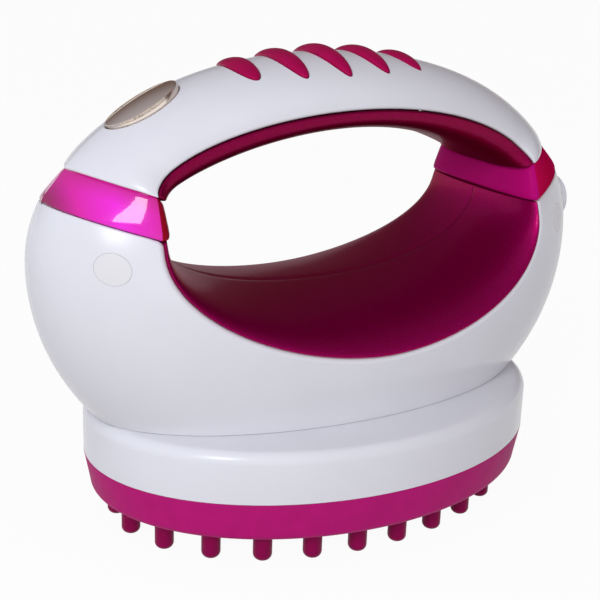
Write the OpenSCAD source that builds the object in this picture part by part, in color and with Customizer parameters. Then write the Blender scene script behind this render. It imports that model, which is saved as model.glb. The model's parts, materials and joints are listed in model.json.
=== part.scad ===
// Hand-held vibrating anti-cellulite massager.
// The origin is on the table under the middle of the head; X runs along the handle, Y to the rear, Z up.

/* [Head] */
// Length of the oval head
head_length = 132; // [118:1:146]
// Width of the oval head
head_width = 96.4; // [88:0.2:106]
// Height of the white head housing
head_height = 13.6; // [12:0.2:16]
// Wall of the head housing
head_wall = 2.4; // [1.8:0.1:3]
// Rounding of the top edge of the head housing
head_round = 3.2; // [2:0.1:4.5]

/* [Massage pad] */
// Height of the rubber pad's side
pad_height = 10.7; // [9.5:0.1:12]
// Wall of the rubber pad
pad_wall = 3; // [2.4:0.1:3.6]
// Rounding of the pad's lower edge
pad_round = 2.6; // [1.5:0.1:3.2]
// How far the pad's side draws in towards its lower edge
pad_draft = 1.6; // [0.8:0.1:2.4]
// Length of a nub below the pad
nub_length = 8.6; // [6:0.1:10]
// Diameter of a nub
nub_d = 5; // [4:0.1:6]
// Inset of the outer ring of nubs from the pad's edge
nub_inset = 8.6; // [7:0.1:11]
// Distance between neighbouring nubs
nub_pitch = 12.75; // [11:0.05:15]
// Place of the first nub of a ring, as a share of the pitch
nub_phase = 0.35; // [0:0.05:1]
// Thickness of the plate that backs the pad
backing_t = 2.5; // [2:0.1:3]

/* [Body] */
// Length of the egg-shaped body at its widest
body_length = 162.6; // [150:1:170]
// Width of the body at its widest
body_width = 78; // [72:1:84]
// Height of the longest girth above the head
girth_rise = 41.4; // [38:0.2:44]
// Height of the body's greatest width above the head
width_rise = 26.4; // [23:0.2:30]
// Height of the dome from its longest girth to the handle's crest
dome_rise = 50; // [46:0.5:54]
// Fullness of the dome, where 2 is an ellipse
dome_power = 2.06; // [1.9:0.02:2.3]
// Depth below the longest girth at which the end outline would close
end_taper = 69; // [64:0.5:76]
// Depth below the greatest width at which the side outline would close
side_taper = 47.8; // [44:0.2:54]
// Height above the greatest width at which the side outline would close
side_rise = 50; // [47:0.5:54]
// Wall of the body shells
wall = 2.2; // [1.8:0.1:2.6]
// Gap between neighbouring casing parts
gap = 0.3; // [0.25:0.05:0.5]

/* [Finger opening] */
// Length of the opening at its outer rim
opening_length = 112.6; // [108:0.2:116]
// Height above the head at which the opening's lower rim turns upright
low_shoulder = 48.4; // [46.5:0.2:50]
// Drop of the lower rim from its shoulder to its middle
opening_drop = 29; // [26:0.2:31]
// Rise of the upper rim from the top of the bands to its middle
opening_rise = 17.7; // [16:0.1:19]
// Length of the opening at its throat
throat_length = 104; // [100:0.2:106]
// Drop of the palm trough's saddle below the foot of the bands
throat_drop = 21.2; // [19:0.1:23]
// Rise of the handle's underside above the top of the bands
throat_rise = 11.4; // [10:0.1:13]
// How far the handle's liner reaches down inside the bands
lip_drop = 2.5; // [1.5:0.1:3]
// Thickness of the magenta liners
liner_t = 1.8; // [1.4:0.1:2.2]

/* [Light bands] */
// Height above the head of the bands' inner lower corner
band_rise = 51.7; // [50.5:0.1:53.5]
// Height of a band at its inner corner
band_height = 9.6; // [8:0.1:11]
// Slope of the bands' lower edge towards the ends
band_low_slope = 16; // [12:0.5:18]
// Slope of the bands' upper edge towards the ends
band_high_slope = 15; // [12:0.5:18]
// How far the bands stand proud of the casing
band_proud = 0.4; // [0:0.1:1]
// How far the bands' inner faces lie behind the liners
band_recess = 0.8; // [0.4:0.1:1.2]
// Wall of the translucent bands
band_wall = 2.4; // [2:0.1:3]

/* [Handle] */
// Width of the handle at its middle
handle_width = 44; // [40:0.5:48]
// Width of the handle at its waist, near the bands
handle_waist = 37; // [34:0.5:40]
// Width of the handle where it meets the bands
handle_root = 42; // [39:0.5:45]
// Roundness of the handle's section at its middle
crest_power = 1.85; // [1.6:0.05:2.3]
// Roundness of the handle's section at the bands
root_power = 1.35; // [1.2:0.05:1.6]

/* [Grip ridges] */
// Number of raised grip ridges
ridge_count = 5; // [3:2:5]
// Distance between neighbouring ridges
ridge_pitch = 12; // [11:0.1:13]
// Shift of the middle ridge towards the button
ridge_shift = 2; // [0:0.1:3]
// Length of the middle ridge across the handle
ridge_length = 32; // [24:0.5:34]
// Shortening of a ridge at each end, for the ridges next to the middle one
ridge_shrink = 1.1; // [0:0.1:2]
// Width of a ridge at its middle
ridge_width = 6.2; // [6:0.1:9]
// How far the ends of a ridge curve away from the button
ridge_bow = 0.8; // [0:0.1:2.4]
// How far a ridge's front end leans towards the button
ridge_skew = 0.6; // [0:0.1:1]
// Height of the middle ridge above the handle
ridge_height = 1.9; // [1.5:0.1:2.8]
// Lowering of each ridge farther out
ridge_fade = 0.3; // [0.2:0.02:0.6]
// Depth of the pocket that a ridge sits in
ridge_seat = 1; // [0.6:0.1:1.2]

/* [Power button] */
// Length of the oval button
button_length = 20.6; // [18:0.1:22]
// Width of the oval button
button_width = 12.8; // [11:0.1:14]
// Distance of the button from the middle of the handle
button_x = 52.2; // [50:0.1:53]
// Offset of the button from the crest towards the front
button_y = 0.8; // [0:0.1:1.2]
// How far the button stands proud of the handle
button_proud = 1; // [0.6:0.1:1.4]
// Lean of the button past the slope of the handle
button_lean = 3; // [0:0.5:3]
// Travel of the button
button_travel = 1; // [0.6:0.1:1.2]
// Radius of the button's face along the handle
button_arch = 60; // [40:1:90]
// Radius of the button's face across the handle
button_crown = 14; // [12:1:40]

/* [Power inlet] */
// Outer diameter of the inlet collar
inlet_d = 14; // [12:0.5:15]
// Diameter of the socket's opening
socket_d = 6.4; // [5.5:0.1:7]
// Height of the inlet's axis above the head
inlet_rise = 45.6; // [44:0.2:46]
// How far the collar stands proud of the body's end
inlet_proud = 1.8; // [1:0.1:2.5]

/* [Motor] */
// Diameter of the motor can
motor_d = 24.4; // [20:0.1:26]
// Length of the motor can
motor_length = 31; // [27:0.5:34]
// Diameter of the motor shaft
shaft_d = 2.3; // [2:0.1:3]
// Radius of the eccentric weights
weight_r = 9; // [7:0.1:10]
// Thickness of an eccentric weight
weight_t = 7; // [5:0.1:8]
// Radial clearance of the shaft in its bushings
shaft_clearance = 0.05; // [0.03:0.01:0.08]

/* [Electronics] */
// Length of the control board
board_length = 26; // [22:0.5:28]
// Width of the control board
board_width = 22; // [18:0.5:24]
// Thickness of the circuit boards
board_t = 1.6; // [1.2:0.2:1.6]
// Height of the control board above the head
board_rise = 5; // [4:0.5:7]
// Diameter of the light-emitting diodes
led_d = 3; // [2.5:0.5:4]

/* [Handle frame] */
// Thickness of the frame inside the handle
frame_t = 3; // [2.4:0.1:3.2]
// Width of the frame inside the handle
frame_width = 10; // [8:0.5:12]

/* [Fasteners] */
// Distance of the casing screws from the ends of the body
cover_inset = 13.9; // [12:0.1:16]
// Height of the casing screws above the head
cover_rise = 45.1; // [43:0.1:46]
// Diameter of a screw cover
cover_d = 7.4; // [6.5:0.1:8]
// Thread diameter of the screws
screw_d = 2.6; // [2.2:0.1:3]
// Head diameter of the screws
screw_head_d = 5; // [4.4:0.1:5.4]

/* [Hidden] */
$fn = 64;

white = [0.88, 0.89, 0.93];
magenta = [0.70, 0.09, 0.44];
liner_magenta = [0.48, 0.03, 0.26];
band_magenta = [0.88, 0.13, 0.72, 0.75];
steel = [0.72, 0.73, 0.75];
board_green = [0.10, 0.35, 0.22];
black = [0.08, 0.08, 0.09];

pad_bottom_z = nub_length;
head_bottom_z = pad_bottom_z + pad_height;
foot_z = head_bottom_z + head_height;
girth_z = foot_z + girth_rise;
width_z = foot_z + width_rise;
crest_z = girth_z + dome_rise;
shoulder_z = foot_z + low_shoulder;
band_z = foot_z + band_rise;
band_top_z = band_z + band_height;
a_rim = opening_length / 2;
a_throat = throat_length / 2;
seam = gap / 2;

// Exponents that shape the opening's outlines
low_rim_power = 1.8;
high_rim_power = 1.5;
throat_power = 2.2;
high_throat_power = 1.05;
// Exponents of the liners' rolled sections
trough_roll = 1.8;
lip_roll = 4;

// Profile of a band's wall: shares of its height, and how far each is drawn in
band_shares = [0, 0.12, 0.5, 0.88, 1];
band_draw = [0.8, 0.1, -0.2, 0.1, 0.8];

// Numbers of stations along and across the lofted walls
low_steps = 13;
end_steps = 6;
rise_steps = 8;
core_steps = 6;
roll_steps = 7;
high_steps = 14;
arch_steps = 16;
band_steps = 9;

function mix(a, b, t) = a + (b - a) * t;
function pow_abs(v, n) = sign(v) * pow(abs(v), n);
function unit2(v) = v / norm(v);

// Half length and half width of the body's oval outline at a height
function half_length(z) = z < girth_z
    ? body_length / 2 * sqrt(1 - pow((girth_z - z) / end_taper, 2))
    : body_length / 2 * pow(1 - pow((z - girth_z) / dome_rise, dome_power), 1 / dome_power);
function half_width(z) = z < width_z
    ? body_width / 2 * sqrt(1 - pow((width_z - z) / side_taper, 2))
    : body_width / 2 * sqrt(1 - pow((z - width_z) / side_rise, 2));

// Point of the front of the body's skin at a length and height, drawn in by a depth
function skin_angle(x, z, depth = 0) = acos(max(-1, min(1, x / (half_length(z) - depth))));
function skin_at(angle, z, depth = 0) = [
    (half_length(z) - depth) * cos(angle),
    -(half_width(z) - depth) * sin(angle),
    z];

// Outlines of the opening in the side view, as [x, z]
function low_rim(k) = abs(k) > low_steps
    ? [sign(k) * a_rim, band_z - gap]
    : [a_rim * pow_abs(sin(90 * k / low_steps), 2 / low_rim_power),
       shoulder_z - opening_drop * cos(90 * k / low_steps)];
function low_throat(k, out = 0) = [
    (a_throat + out) * pow_abs(sin(90 * k / (low_steps + 1)), 2 / throat_power),
    band_z - gap - (throat_drop + out) * cos(90 * k / (low_steps + 1))];
function high_rim(a) = [
    a_rim * sin(a),
    band_top_z + gap + opening_rise * pow(cos(a), 2 / high_rim_power)];
function high_throat(a, out = 0) = [
    (a_throat + out) * sin(a),
    band_top_z + gap - lip_drop + (throat_rise + lip_drop + out) * pow(cos(a), 2 / high_throat_power)];

// Height of a band's sloping faces at a length
function band_low_z(x) = band_z + tan(band_low_slope) * (abs(x) - a_rim);
function band_high_z(x) = band_top_z + tan(band_high_slope) * (abs(x) - a_rim);
// Length at which the body's end meets the band's lower face
function band_end(x, n = 6) = n == 0 ? x : band_end(half_length(band_low_z(x) - gap), n - 1);
low_end_x = band_end(body_length / 2);

// Crest of the handle in the side view; its lowest angle lies on the band's upper face
function crest_at(a) = [
    body_length / 2 * pow_abs(cos(a), 2 / dome_power),
    girth_z + dome_rise * pow_abs(sin(a), 2 / dome_power)];
function crest_miss(a) = crest_at(a)[1] - gap - band_high_z(crest_at(a)[0]);
function crest_root(low, high, n = 20) = n == 0 ? (low + high) / 2
    : crest_miss((low + high) / 2) < 0
        ? crest_root((low + high) / 2, high, n - 1)
        : crest_root(low, (low + high) / 2, n - 1);
root_angle = crest_root(5, 60);
// The handle's stations run from one band, at -90, over the middle to the other, at 90
function crest_angle(a) = 90 - (90 - root_angle) * abs(a) / 90;
function high_crest(a) = let (c = crest_at(crest_angle(a))) [(a < 0 ? -1 : 1) * c[0], c[1]];

// Half width of the handle's rim: middle, waist and root
waist_angle = 66;
function handle_half(a) = abs(a) < waist_angle
    ? mix(handle_width, handle_waist, pow(sin(90 * abs(a) / waist_angle), 2)) / 2
    : mix(handle_waist, handle_root, pow(sin(90 * (abs(a) - waist_angle) / (90 - waist_angle)), 2)) / 2;
function section_power(a) = mix(root_power, crest_power, pow(cos(a), 0.6));

// Point of the handle's outer section at a station and a section angle
function handle_at(a, s, depth = 0) =
    let (rim = high_rim(a), crest = high_crest(a), out = unit2(crest - rim), p = 2 / section_power(a),
        top = crest - depth * out, m = mix(rim, top, pow(cos(s), p)))
    [m[0], (handle_half(a) - depth) * pow_abs(sin(s), p), m[1]];

// Share of the way from throat to rim at a share of the half width
function roll(s, power) = 1 - pow(1 - pow(abs(s), power), 1 / power);

// Edge of the palm liner in the side view: the lower rim, drawn in by the gap
function low_edge(k) =
    let (last = low_steps + 1, along = unit2(low_rim(min(k + 1, last)) - low_rim(max(k - 1, -last))))
    low_rim(k) + gap * [-along[1], along[0]];

// Points of the liners: u runs from the throat at 0 to the rim at 90
function low_liner_at(k, u, depth = 0) =
    let (rim = low_edge(k), edge = skin_at(skin_angle(rim[0], rim[1]), rim[1]) + [0, depth, 0],
        throat = low_throat(k, depth), s = sin(u), f = roll(s, trough_roll))
    [mix(throat[0], edge[0], f), mix(-seam, edge[1], s), mix(throat[1], edge[2], f)];
function high_liner_at(a, u, depth = 0) =
    let (rim = high_rim(a) - gap * [sin(a), cos(a)], s = sin(u),
        m = mix(high_throat(a, depth), rim, roll(s, lip_roll)))
    [m[0], (handle_half(a) - depth) * s, m[1]];

// Closed wall between a grid of points on its face and one on its back
module wall_between(face, back, ring = false) {
    rows = len(face);
    cols = len(face[0]);
    n = rows * cols;
    turns = ring ? rows : rows - 1;
    function at(side, r, c) = side * n + (r % rows) * cols + c;
    function quad(a, b, c, d) = [[a, b, c], [a, c, d]];
    x = rows - 1;
    y = cols - 1;
    faces = concat(
        [for (r = [0 : turns - 1], c = [0 : y - 1])
            each quad(at(0, r, c), at(0, r, c + 1), at(0, r + 1, c + 1), at(0, r + 1, c))],
        [for (r = [0 : turns - 1], c = [0 : y - 1])
            each quad(at(1, r, c), at(1, r + 1, c), at(1, r + 1, c + 1), at(1, r, c + 1))],
        [for (r = [0 : turns - 1]) each quad(at(0, r, 0), at(0, r + 1, 0), at(1, r + 1, 0), at(1, r, 0))],
        [for (r = [0 : turns - 1]) each quad(at(0, r, y), at(1, r, y), at(1, r + 1, y), at(0, r + 1, y))],
        ring ? [] : [for (c = [0 : y - 1])
            each quad(at(0, 0, c), at(1, 0, c), at(1, 0, c + 1), at(0, 0, c + 1))],
        ring ? [] : [for (c = [0 : y - 1])
            each quad(at(0, x, c), at(0, x, c + 1), at(1, x, c + 1), at(1, x, c))]);
    polyhedron(points = concat([for (r = face) each r], [for (r = back) each r]), faces = faces);
}

// Top edge of the front shell, from the left end to the right, as [x, z]
end_tops = [for (i = [0 : end_steps - 1])
    let (x = mix(low_end_x, a_rim, i / end_steps)) [x, band_low_z(x) - gap]];
shell_tops = concat([for (t = end_tops) [-t[0], t[1]]],
    [for (k = [-low_steps - 1 : low_steps + 1]) low_rim(k)],
    [for (i = [end_steps - 1 : -1 : 0]) end_tops[i]]);

// Front half of the body's wall between two depths under the skin
module shell_wall(depth_face = 0, depth_back = wall) {
    function skin_row(t, depth) =
        let (angle = skin_angle(t[0], t[1], depth),
            top = min(t[1], band_low_z(half_length(t[1]) - depth) - gap))
        [for (j = [0 : rise_steps]) let (p = skin_at(angle, mix(foot_z, top, j / rise_steps), depth))
            [p[0], min(p[1], -seam), p[2]]];
    wall_between([for (t = shell_tops) skin_row(t, depth_face)],
        [for (t = shell_tops) skin_row(t, depth_back)]);
}

// Everything inside the front half of the skin, to trim what is moulded to the shell
module shell_core() {
    core_depth = wall / 2;
    function core_row(t) = let (angle = skin_angle(t[0], t[1]))
        [for (j = [0 : core_steps]) let (p = skin_at(angle, mix(foot_z, t[1], j / core_steps), core_depth))
            [p[0], min(p[1], -seam - over), p[2]]];
    rows = [for (i = [0 : 3 : len(shell_tops) - 1]) core_row(shell_tops[i])];
    wall_between(rows, [for (r = rows) [for (p = r) [p[0], -seam, p[2]]]]);
}

module palm_liner() {
    function liner_rows(depth) = [for (k = [low_steps + 1 : -1 : -low_steps - 1])
        [for (j = [0 : roll_steps]) low_liner_at(k, 90 * j / roll_steps, depth)]];
    wall_between(liner_rows(0), liner_rows(liner_t));
}

// Extra reach of a cutter past the faces it cuts
over = 1;

// Places of the screws
cover_x = body_length / 2 - cover_inset;
cover_z = foot_z + cover_rise;
head_screw_x = 40;
head_screw_y = 18;
pad_screw_a = 46;
pad_screw_b = 26;
pad_screw_places = [for (i = [0 : 5]) [pad_screw_a * cos(60 * i), pad_screw_b * sin(60 * i)]];
thread_clearance = 0.05;
screw_r = screw_d / 2;
pilot_r = screw_r + thread_clearance;
screw_head_h = 1.6;
thread_reach = 8;
well_r = cover_d / 2 + gap;
well_wall = 1.4;
well_floor_y = 12;
frame_boss_r = 4.2;
foot_boss_r = 3.5;
foot_boss_h = 12;
rib_t = 2;

// Cylinder along Y between two distances from the middle, on the front side
module front_rod(x, z, r, from_y, to_y) {
    translate([x, -to_y, z]) rotate([90, 0, 0]) cylinder(h = from_y - to_y, r = r);
}

// What is moulded inside each half of the casing, drawn for the front half
module casing_posts(post_r) {
    intersection() {
        union() {
            for (side = [-1, 1]) {
                front_rod(side * cover_x, cover_z, post_r, body_width / 2, frame_width / 2 + gap);
                translate([side * head_screw_x, -head_screw_y, foot_z]) {
                    cylinder(h = foot_boss_h, r = foot_boss_r);
                    translate([-rib_t / 2, -body_width / 2, 0]) cube([rib_t, body_width / 2, foot_boss_h]);
                }
            }
        }
        shell_core();
    }
}

module foot_pilots() {
    for (side = [-1, 1])
        translate([side * head_screw_x, -head_screw_y, foot_z - over])
            cylinder(h = foot_boss_h - over, r = pilot_r);
}

inlet_z = foot_z + inlet_rise;
module inlet_hole() {
    translate([collar_back_x, 0, inlet_z]) rotate([0, 90, 0])
        cylinder(h = body_length / 2, r = inlet_d / 2 + gap);
}

module front_body_shell() {
    color(white) difference() {
        union() {
            shell_wall();
            casing_posts(well_r + well_wall);
        }
        for (side = [-1, 1]) {
            front_rod(side * cover_x, cover_z, well_r, body_width / 2, well_floor_y);
            front_rod(side * cover_x, cover_z, pilot_r, body_width / 2, 0);
        }
        foot_pilots();
        inlet_hole();
    }
}

rear_post_r = 3.6;
module rear_body_shell() {
    color(white) difference() {
        mirror([0, 1, 0]) union() {
            shell_wall();
            casing_posts(rear_post_r);
        }
        for (side = [-1, 1])
            mirror([0, 1, 0]) front_rod(side * cover_x, cover_z, pilot_r, casing_screw_reach + over, 0);
        mirror([0, 1, 0]) foot_pilots();
        inlet_hole();
    }
}

module front_palm_liner() {
    color(liner_magenta) palm_liner();
}

module rear_palm_liner() {
    color(liner_magenta) mirror([0, 1, 0]) palm_liner();
}

// Crest height of the handle at a length, and its slope
function crest_height(x) =
    girth_z + dome_rise * pow(1 - pow(abs(x) / (body_length / 2), dome_power), 1 / dome_power);
button_tilt = atan(crest_height(button_x - 0.5) - crest_height(button_x + 0.5)) + button_lean;
// Local frame of the button: X along the crest, Z out of the handle
module at_button() {
    translate([-button_x, -button_y, crest_height(button_x)]) rotate([0, -button_tilt, 0]) children();
}

// Upright oval with its length along X
module oval_cylinder(length, width, h) {
    linear_extrude(height = h)
        polygon([for (i = [0 : 71]) [length / 2 * cos(5 * i), width / 2 * sin(5 * i)]]);
}

// Point of the handle's surface over a place on the plan
function surface_at(x, y, depth = 0) =
    let (a = asin(x / a_rim), half = handle_half(a), p = section_power(a))
    handle_at(a, asin(pow_abs(y / half, p / 2)), depth);

ridge_rows = 12;
ridge_cols = 4;
ridge_tip = 0.5;
pocket_clearance = 0.25;
ridge_ends = [for (j = [0 : ridge_rows]) 0.995 * sin(-90 + 180 * j / ridge_rows)];
function ridge_x(i) = i * ridge_pitch - ridge_shift;
function ridge_span(i) = ridge_length - 2 * ridge_shrink * i * i;
function ridge_top(i) = ridge_height - ridge_fade * abs(i);
// Point of a leaf outline on the handle: v runs along it and t across it, each from -1 to 1
function leaf_at(i, v, t, clearance, depth) = surface_at(
    ridge_x(i) + ridge_skew * v + ridge_bow * v * v
        + (ridge_width / 2 + clearance) * pow(1 - v * v, ridge_tip) * t,
    (ridge_span(i) / 2 + clearance) * v, depth);

// Leaf-shaped ridge that is domed above the handle and sits in it
module ridge(i) {
    ts = [for (c = [-ridge_cols / 2 : ridge_cols / 2]) sin(180 * c / ridge_cols)];
    function dome(v, t) = -ridge_top(i) * sqrt(max(0, (1 - v * v) * (1 - t * t)));
    wall_between([for (t = ts) [for (v = ridge_ends) leaf_at(i, v, t, 0, dome(v, t))]],
        [for (t = ts) [for (v = ridge_ends) leaf_at(i, v, t, 0, ridge_seat)]]);
}

// Straight-sided cutter that makes room for a ridge
module ridge_pocket(i) {
    function rows(depth) = [for (t = [-1, 0, 1])
        [for (v = ridge_ends) leaf_at(i, v, t, pocket_clearance, depth)]];
    wall_between(rows(-1), rows(ridge_seat + pocket_clearance));
}
ridge_last = (ridge_count - 1) / 2;

handle_post_x = 22;
handle_post_r = 3;
// Height of the cut that lets the button through the handle
button_cut = wall + 4;
module handle_shell() {
    stations = [for (i = [-high_steps : high_steps]) 90 * i / high_steps];
    function arch_rows(depth) = [for (a = stations)
        [for (j = [-arch_steps / 2 : arch_steps / 2]) handle_at(a, 180 * j / arch_steps, depth)]];
    color(white) difference() {
        union() {
            wall_between(arch_rows(0), arch_rows(wall));
            for (side = [-1, 1])
                translate([side * handle_post_x, 0, handle_post_foot])
                    cylinder(h = handle_post_h, r = handle_post_r);
        }
        at_button() translate([0, 0, -button_cut])
            oval_cylinder(button_length + 2 * gap, button_width + 2 * gap, 2 * button_cut);
        for (i = [-ridge_last : ridge_last]) ridge_pocket(i);
        for (side = [-1, 1])
            translate([side * handle_post_x, 0, handle_post_foot - over])
                cylinder(h = thread_reach, r = pilot_r);
    }
}

module grip_ridges() {
    color(magenta) for (i = [-ridge_last : ridge_last]) ridge(i);
}

module handle_liner() {
    function lip_rows(depth) = [for (i = [high_steps : -1 : -high_steps])
        [for (j = [-roll_steps : roll_steps])
            high_liner_at(90 * i / high_steps, 90 * j / roll_steps, depth)]];
    color(liner_magenta) wall_between(lip_rows(0), lip_rows(liner_t));
}

// Middle line of the frame: the handle's underside, offset by the liner and half the frame
frame_offset = liner_t + gap + frame_t / 2;
function frame_point(a, out) = high_throat(a, frame_offset + out);
frame_leg_x = a_throat + band_recess + band_wall - band_proud + band_draw[0] + gap + frame_t / 2;
function spine_angle(x) = asin(x / (a_throat + frame_offset));
handle_post_foot = frame_point(spine_angle(handle_post_x - handle_post_r), frame_t / 2)[1] + gap;
handle_post_h = crest_height(handle_post_x + handle_post_r) - wall / 2 - handle_post_foot;

// Length of the post under the button's board, down to the frame's middle line
function spine_z(x) = frame_point(spine_angle(x), 0)[1];
function post_reach(h = 6, n = 8) = n == 0 ? h
    : let (board_z = crest_height(button_x) + button_board_z * cos(button_tilt),
        foot_x = button_x + (button_board_z - h) * sin(button_tilt))
        post_reach((board_z - spine_z(foot_x)) / cos(button_tilt), n - 1);

module handle_frame() {
    function spine_rows(out) = [for (i = [high_steps : -1 : -high_steps])
        let (p = frame_point(90 * i / high_steps, out), half = frame_width / 2)
        [[p[0], -half, p[1]], [p[0], half, p[1]]]];
    color("dimgray") difference() {
        union() {
            wall_between(spine_rows(-frame_t / 2), spine_rows(frame_t / 2));
            for (side = [-1, 1]) {
                translate([side * frame_leg_x - frame_t / 2, -frame_width / 2, cover_z - frame_boss_r])
                    cube([frame_t, frame_width, band_top_z + gap - cover_z + frame_boss_r]);
                translate([min(side * frame_leg_x, side * cover_x), -frame_width / 2, cover_z - frame_t / 2])
                    cube([cover_x - frame_leg_x, frame_width, frame_t]);
                front_rod(side * cover_x, cover_z, frame_boss_r, frame_width / 2, -frame_width / 2);
            }
            at_button()
                translate([-button_post_l / 2, button_y - frame_width / 2, button_board_z - post_reach()])
                    cube([button_post_l, frame_width, post_reach()]);
        }
        for (side = [-1, 1]) {
            front_rod(side * cover_x, cover_z, screw_r + gap, frame_width, -frame_width);
            translate([side * handle_post_x, 0, 0]) {
                cylinder(h = crest_z, r = screw_r + gap);
                cylinder(h = handle_screw_seat, r = screw_head_d / 2 + gap);
            }
        }
    }
}

handle_screw_seat = handle_post_foot - gap - frame_t + screw_head_h + thread_clearance;
module handle_screws() {
    color(steel) for (side = [-1, 1])
        translate([side * handle_post_x, 0, handle_screw_seat - screw_head_h])
            screw(screw_head_h, handle_post_foot + thread_reach - 2 * over - handle_screw_seat);
}

// Screw with its head's top at the origin, pointing up
module screw(head_h, reach) {
    cylinder(h = head_h, d = screw_head_d);
    cylinder(h = head_h + reach, r = screw_r);
}

// Closed loop of points around a band: share 0 is its lower edge and 1 its upper edge
band_roll = 3;
function band_low_at(s, depth) =
    let (x = mix(a_rim, low_end_x - depth, pow(cos(s), 2 / root_power)), z = band_low_z(x),
        y = (half_width(z) - depth) * sqrt(max(0, 1 - pow(x / (half_length(z) - depth), 2))))
    [x, sign(s) * y, z];
function band_outer_at(s, share, depth) =
    mix(band_low_at(s, depth), handle_at(90, s, depth) - [0, 0, gap], share);
function band_inner_at(u, share, depth) =
    let (half = abs(band_outer_at(90, share, depth)[1]), f = roll(sin(u), band_roll))
    [mix(a_throat + band_recess + depth, a_rim, f), half * sin(u),
        mix(band_z, band_top_z - lip_drop * (1 - f), share)];
function band_loop(i, depth) = let (share = band_shares[i], d = depth + band_draw[i]) concat(
    [for (j = [-band_steps : band_steps]) band_outer_at(90 * j / band_steps, share, d)],
    [for (j = [band_steps - 1 : -1 : 1 - band_steps]) band_inner_at(90 * j / band_steps, share, d)]);
module light_band() {
    count = 4 * band_steps;
    function band_rows(depth) = let (loops = [for (i = [0 : len(band_shares) - 1]) band_loop(i, depth)])
        [for (j = [0 : count - 1]) [for (l = loops) l[j]]];
    wall_between(band_rows(-band_proud), band_rows(band_wall - band_proud), ring = true);
}

module right_light_band() {
    color(band_magenta) light_band();
}

module left_light_band() {
    color(band_magenta) mirror([1, 0, 0]) light_band();
}

light_board_w = 12;
light_board_h = 7;
light_board_t = 1.2;
light_z = band_z + band_height / 2;
light_board_x = frame_leg_x + frame_t / 2;
module light_board() {
    translate([light_board_x, -light_board_w / 2, light_z - light_board_h / 2])
        cube([light_board_t, light_board_w, light_board_h]);
}

module right_light_board() {
    color(board_green) light_board();
}

module left_light_board() {
    color(board_green) mirror([1, 0, 0]) light_board();
}

led_length = 2.5;
led_y = 3.5;
module band_leds() {
    color("lavender") for (side = [-1, 1], y = [-led_y, led_y])
        translate([side * (light_board_x + light_board_t), y, light_z]) rotate([0, side * 90, 0]) {
            cylinder(h = led_length, d = led_d);
            translate([0, 0, led_length]) sphere(d = led_d, $fn = 32);
        }
}

// Heights of the button's parts in its own frame
flange_z = -1.9 * wall;
flange_t = 1;
flange_lip = 0.8;
plunger_rise = 1.2;
switch_top_z = flange_z - flange_t - button_travel - plunger_rise;
switch_h = 1.6;
switch_w = 6;
plunger_r = 1.5;
button_board_t = 1.2;
button_board_l = 14;
button_board_z = switch_top_z - switch_h - button_board_t;
button_post_l = 6;
module power_button() {
    color("silver") at_button() {
        intersection() {
            translate([0, 0, flange_z])
                oval_cylinder(button_length, button_width, button_proud - flange_z + over);
            translate([0, 0, button_proud - button_arch]) rotate([90, 0, 0])
                rotate_extrude($fn = 240) translate([button_arch - button_crown, 0])
                    circle(r = button_crown, $fn = 90);
        }
        translate([0, 0, flange_z - flange_t])
            oval_cylinder(button_length + 2 * flange_lip, button_width + 2 * flange_lip, flange_t);
    }
}

module switch_plunger() {
    color(black) at_button() translate([0, 0, switch_top_z])
        cylinder(h = flange_z - flange_t - switch_top_z, r = plunger_r);
}

module tact_switch() {
    color(steel) at_button() translate([0, 0, switch_top_z - switch_h]) difference() {
        translate([-switch_w / 2, -switch_w / 2, 0]) cube([switch_w, switch_w, switch_h]);
        translate([0, 0, -over]) cylinder(h = switch_h + 2 * over, r = plunger_r + gap);
    }
}

module button_board() {
    color(board_green) at_button()
        translate([-button_board_l / 2, -frame_width / 2, button_board_z])
            cube([button_board_l, frame_width, button_board_t]);
}

// Ring or plate with an oval outline, turned from a half profile in its long section
module oval_turned(profile) {
    scale([1, head_width / head_length, 1]) rotate_extrude($fn = 128) polygon(profile);
}
// Points of a quarter round from the side, at angle 0, to the top or bottom
function quarter(r, z, radius, up) = [for (i = [0 : 5])
    [r - radius + radius * cos(18 * i), z + up * (radius * sin(18 * i) - radius)]];

boss_r = 3.4;
clamp_boss_h = 5;
board_boss_r = 2.6;
plate_z = pad_bottom_z + pad_wall + gap;
plate_top_z = plate_z + backing_t;
module head_housing() {
    r = head_length / 2;
    ceiling_z = foot_z - head_wall;
    color(white) difference() {
        union() {
            oval_turned(concat([[r - head_wall, head_bottom_z], [r, head_bottom_z]],
                quarter(r, foot_z, head_round, 1),
                [[0, foot_z], [0, ceiling_z], [r - head_wall, ceiling_z]]));
            for (p = pad_screw_places)
                translate([p[0], p[1], plate_top_z]) cylinder(h = ceiling_z - plate_top_z + over, r = boss_r);
            for (y = [-clamp_screw_y, clamp_screw_y])
                translate([0, y, ceiling_z - clamp_boss_h]) cylinder(h = clamp_boss_h + over, r = boss_r);
            for (x = board_screw_xs)
                translate([x, 0, foot_z - over]) cylinder(h = board_rise + over, r = board_boss_r);
        }
        for (p = pad_screw_places)
            translate([p[0], p[1], plate_top_z - over]) cylinder(h = thread_reach + 2 * over, r = pilot_r);
        for (x = [-head_screw_x, head_screw_x], y = [-head_screw_y, head_screw_y])
            translate([x, y, ceiling_z - over]) cylinder(h = head_wall + 2 * over, r = screw_r + gap);
        for (y = [-clamp_screw_y, clamp_screw_y])
            translate([0, y, ceiling_z - clamp_boss_h - over])
                cylinder(h = clamp_boss_h + head_wall + 2 * over, r = pilot_r);
        for (x = board_screw_xs)
            translate([x, 0, ceiling_z - over]) cylinder(h = head_wall + board_rise + 2 * over, r = pilot_r);
    }
}

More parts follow.
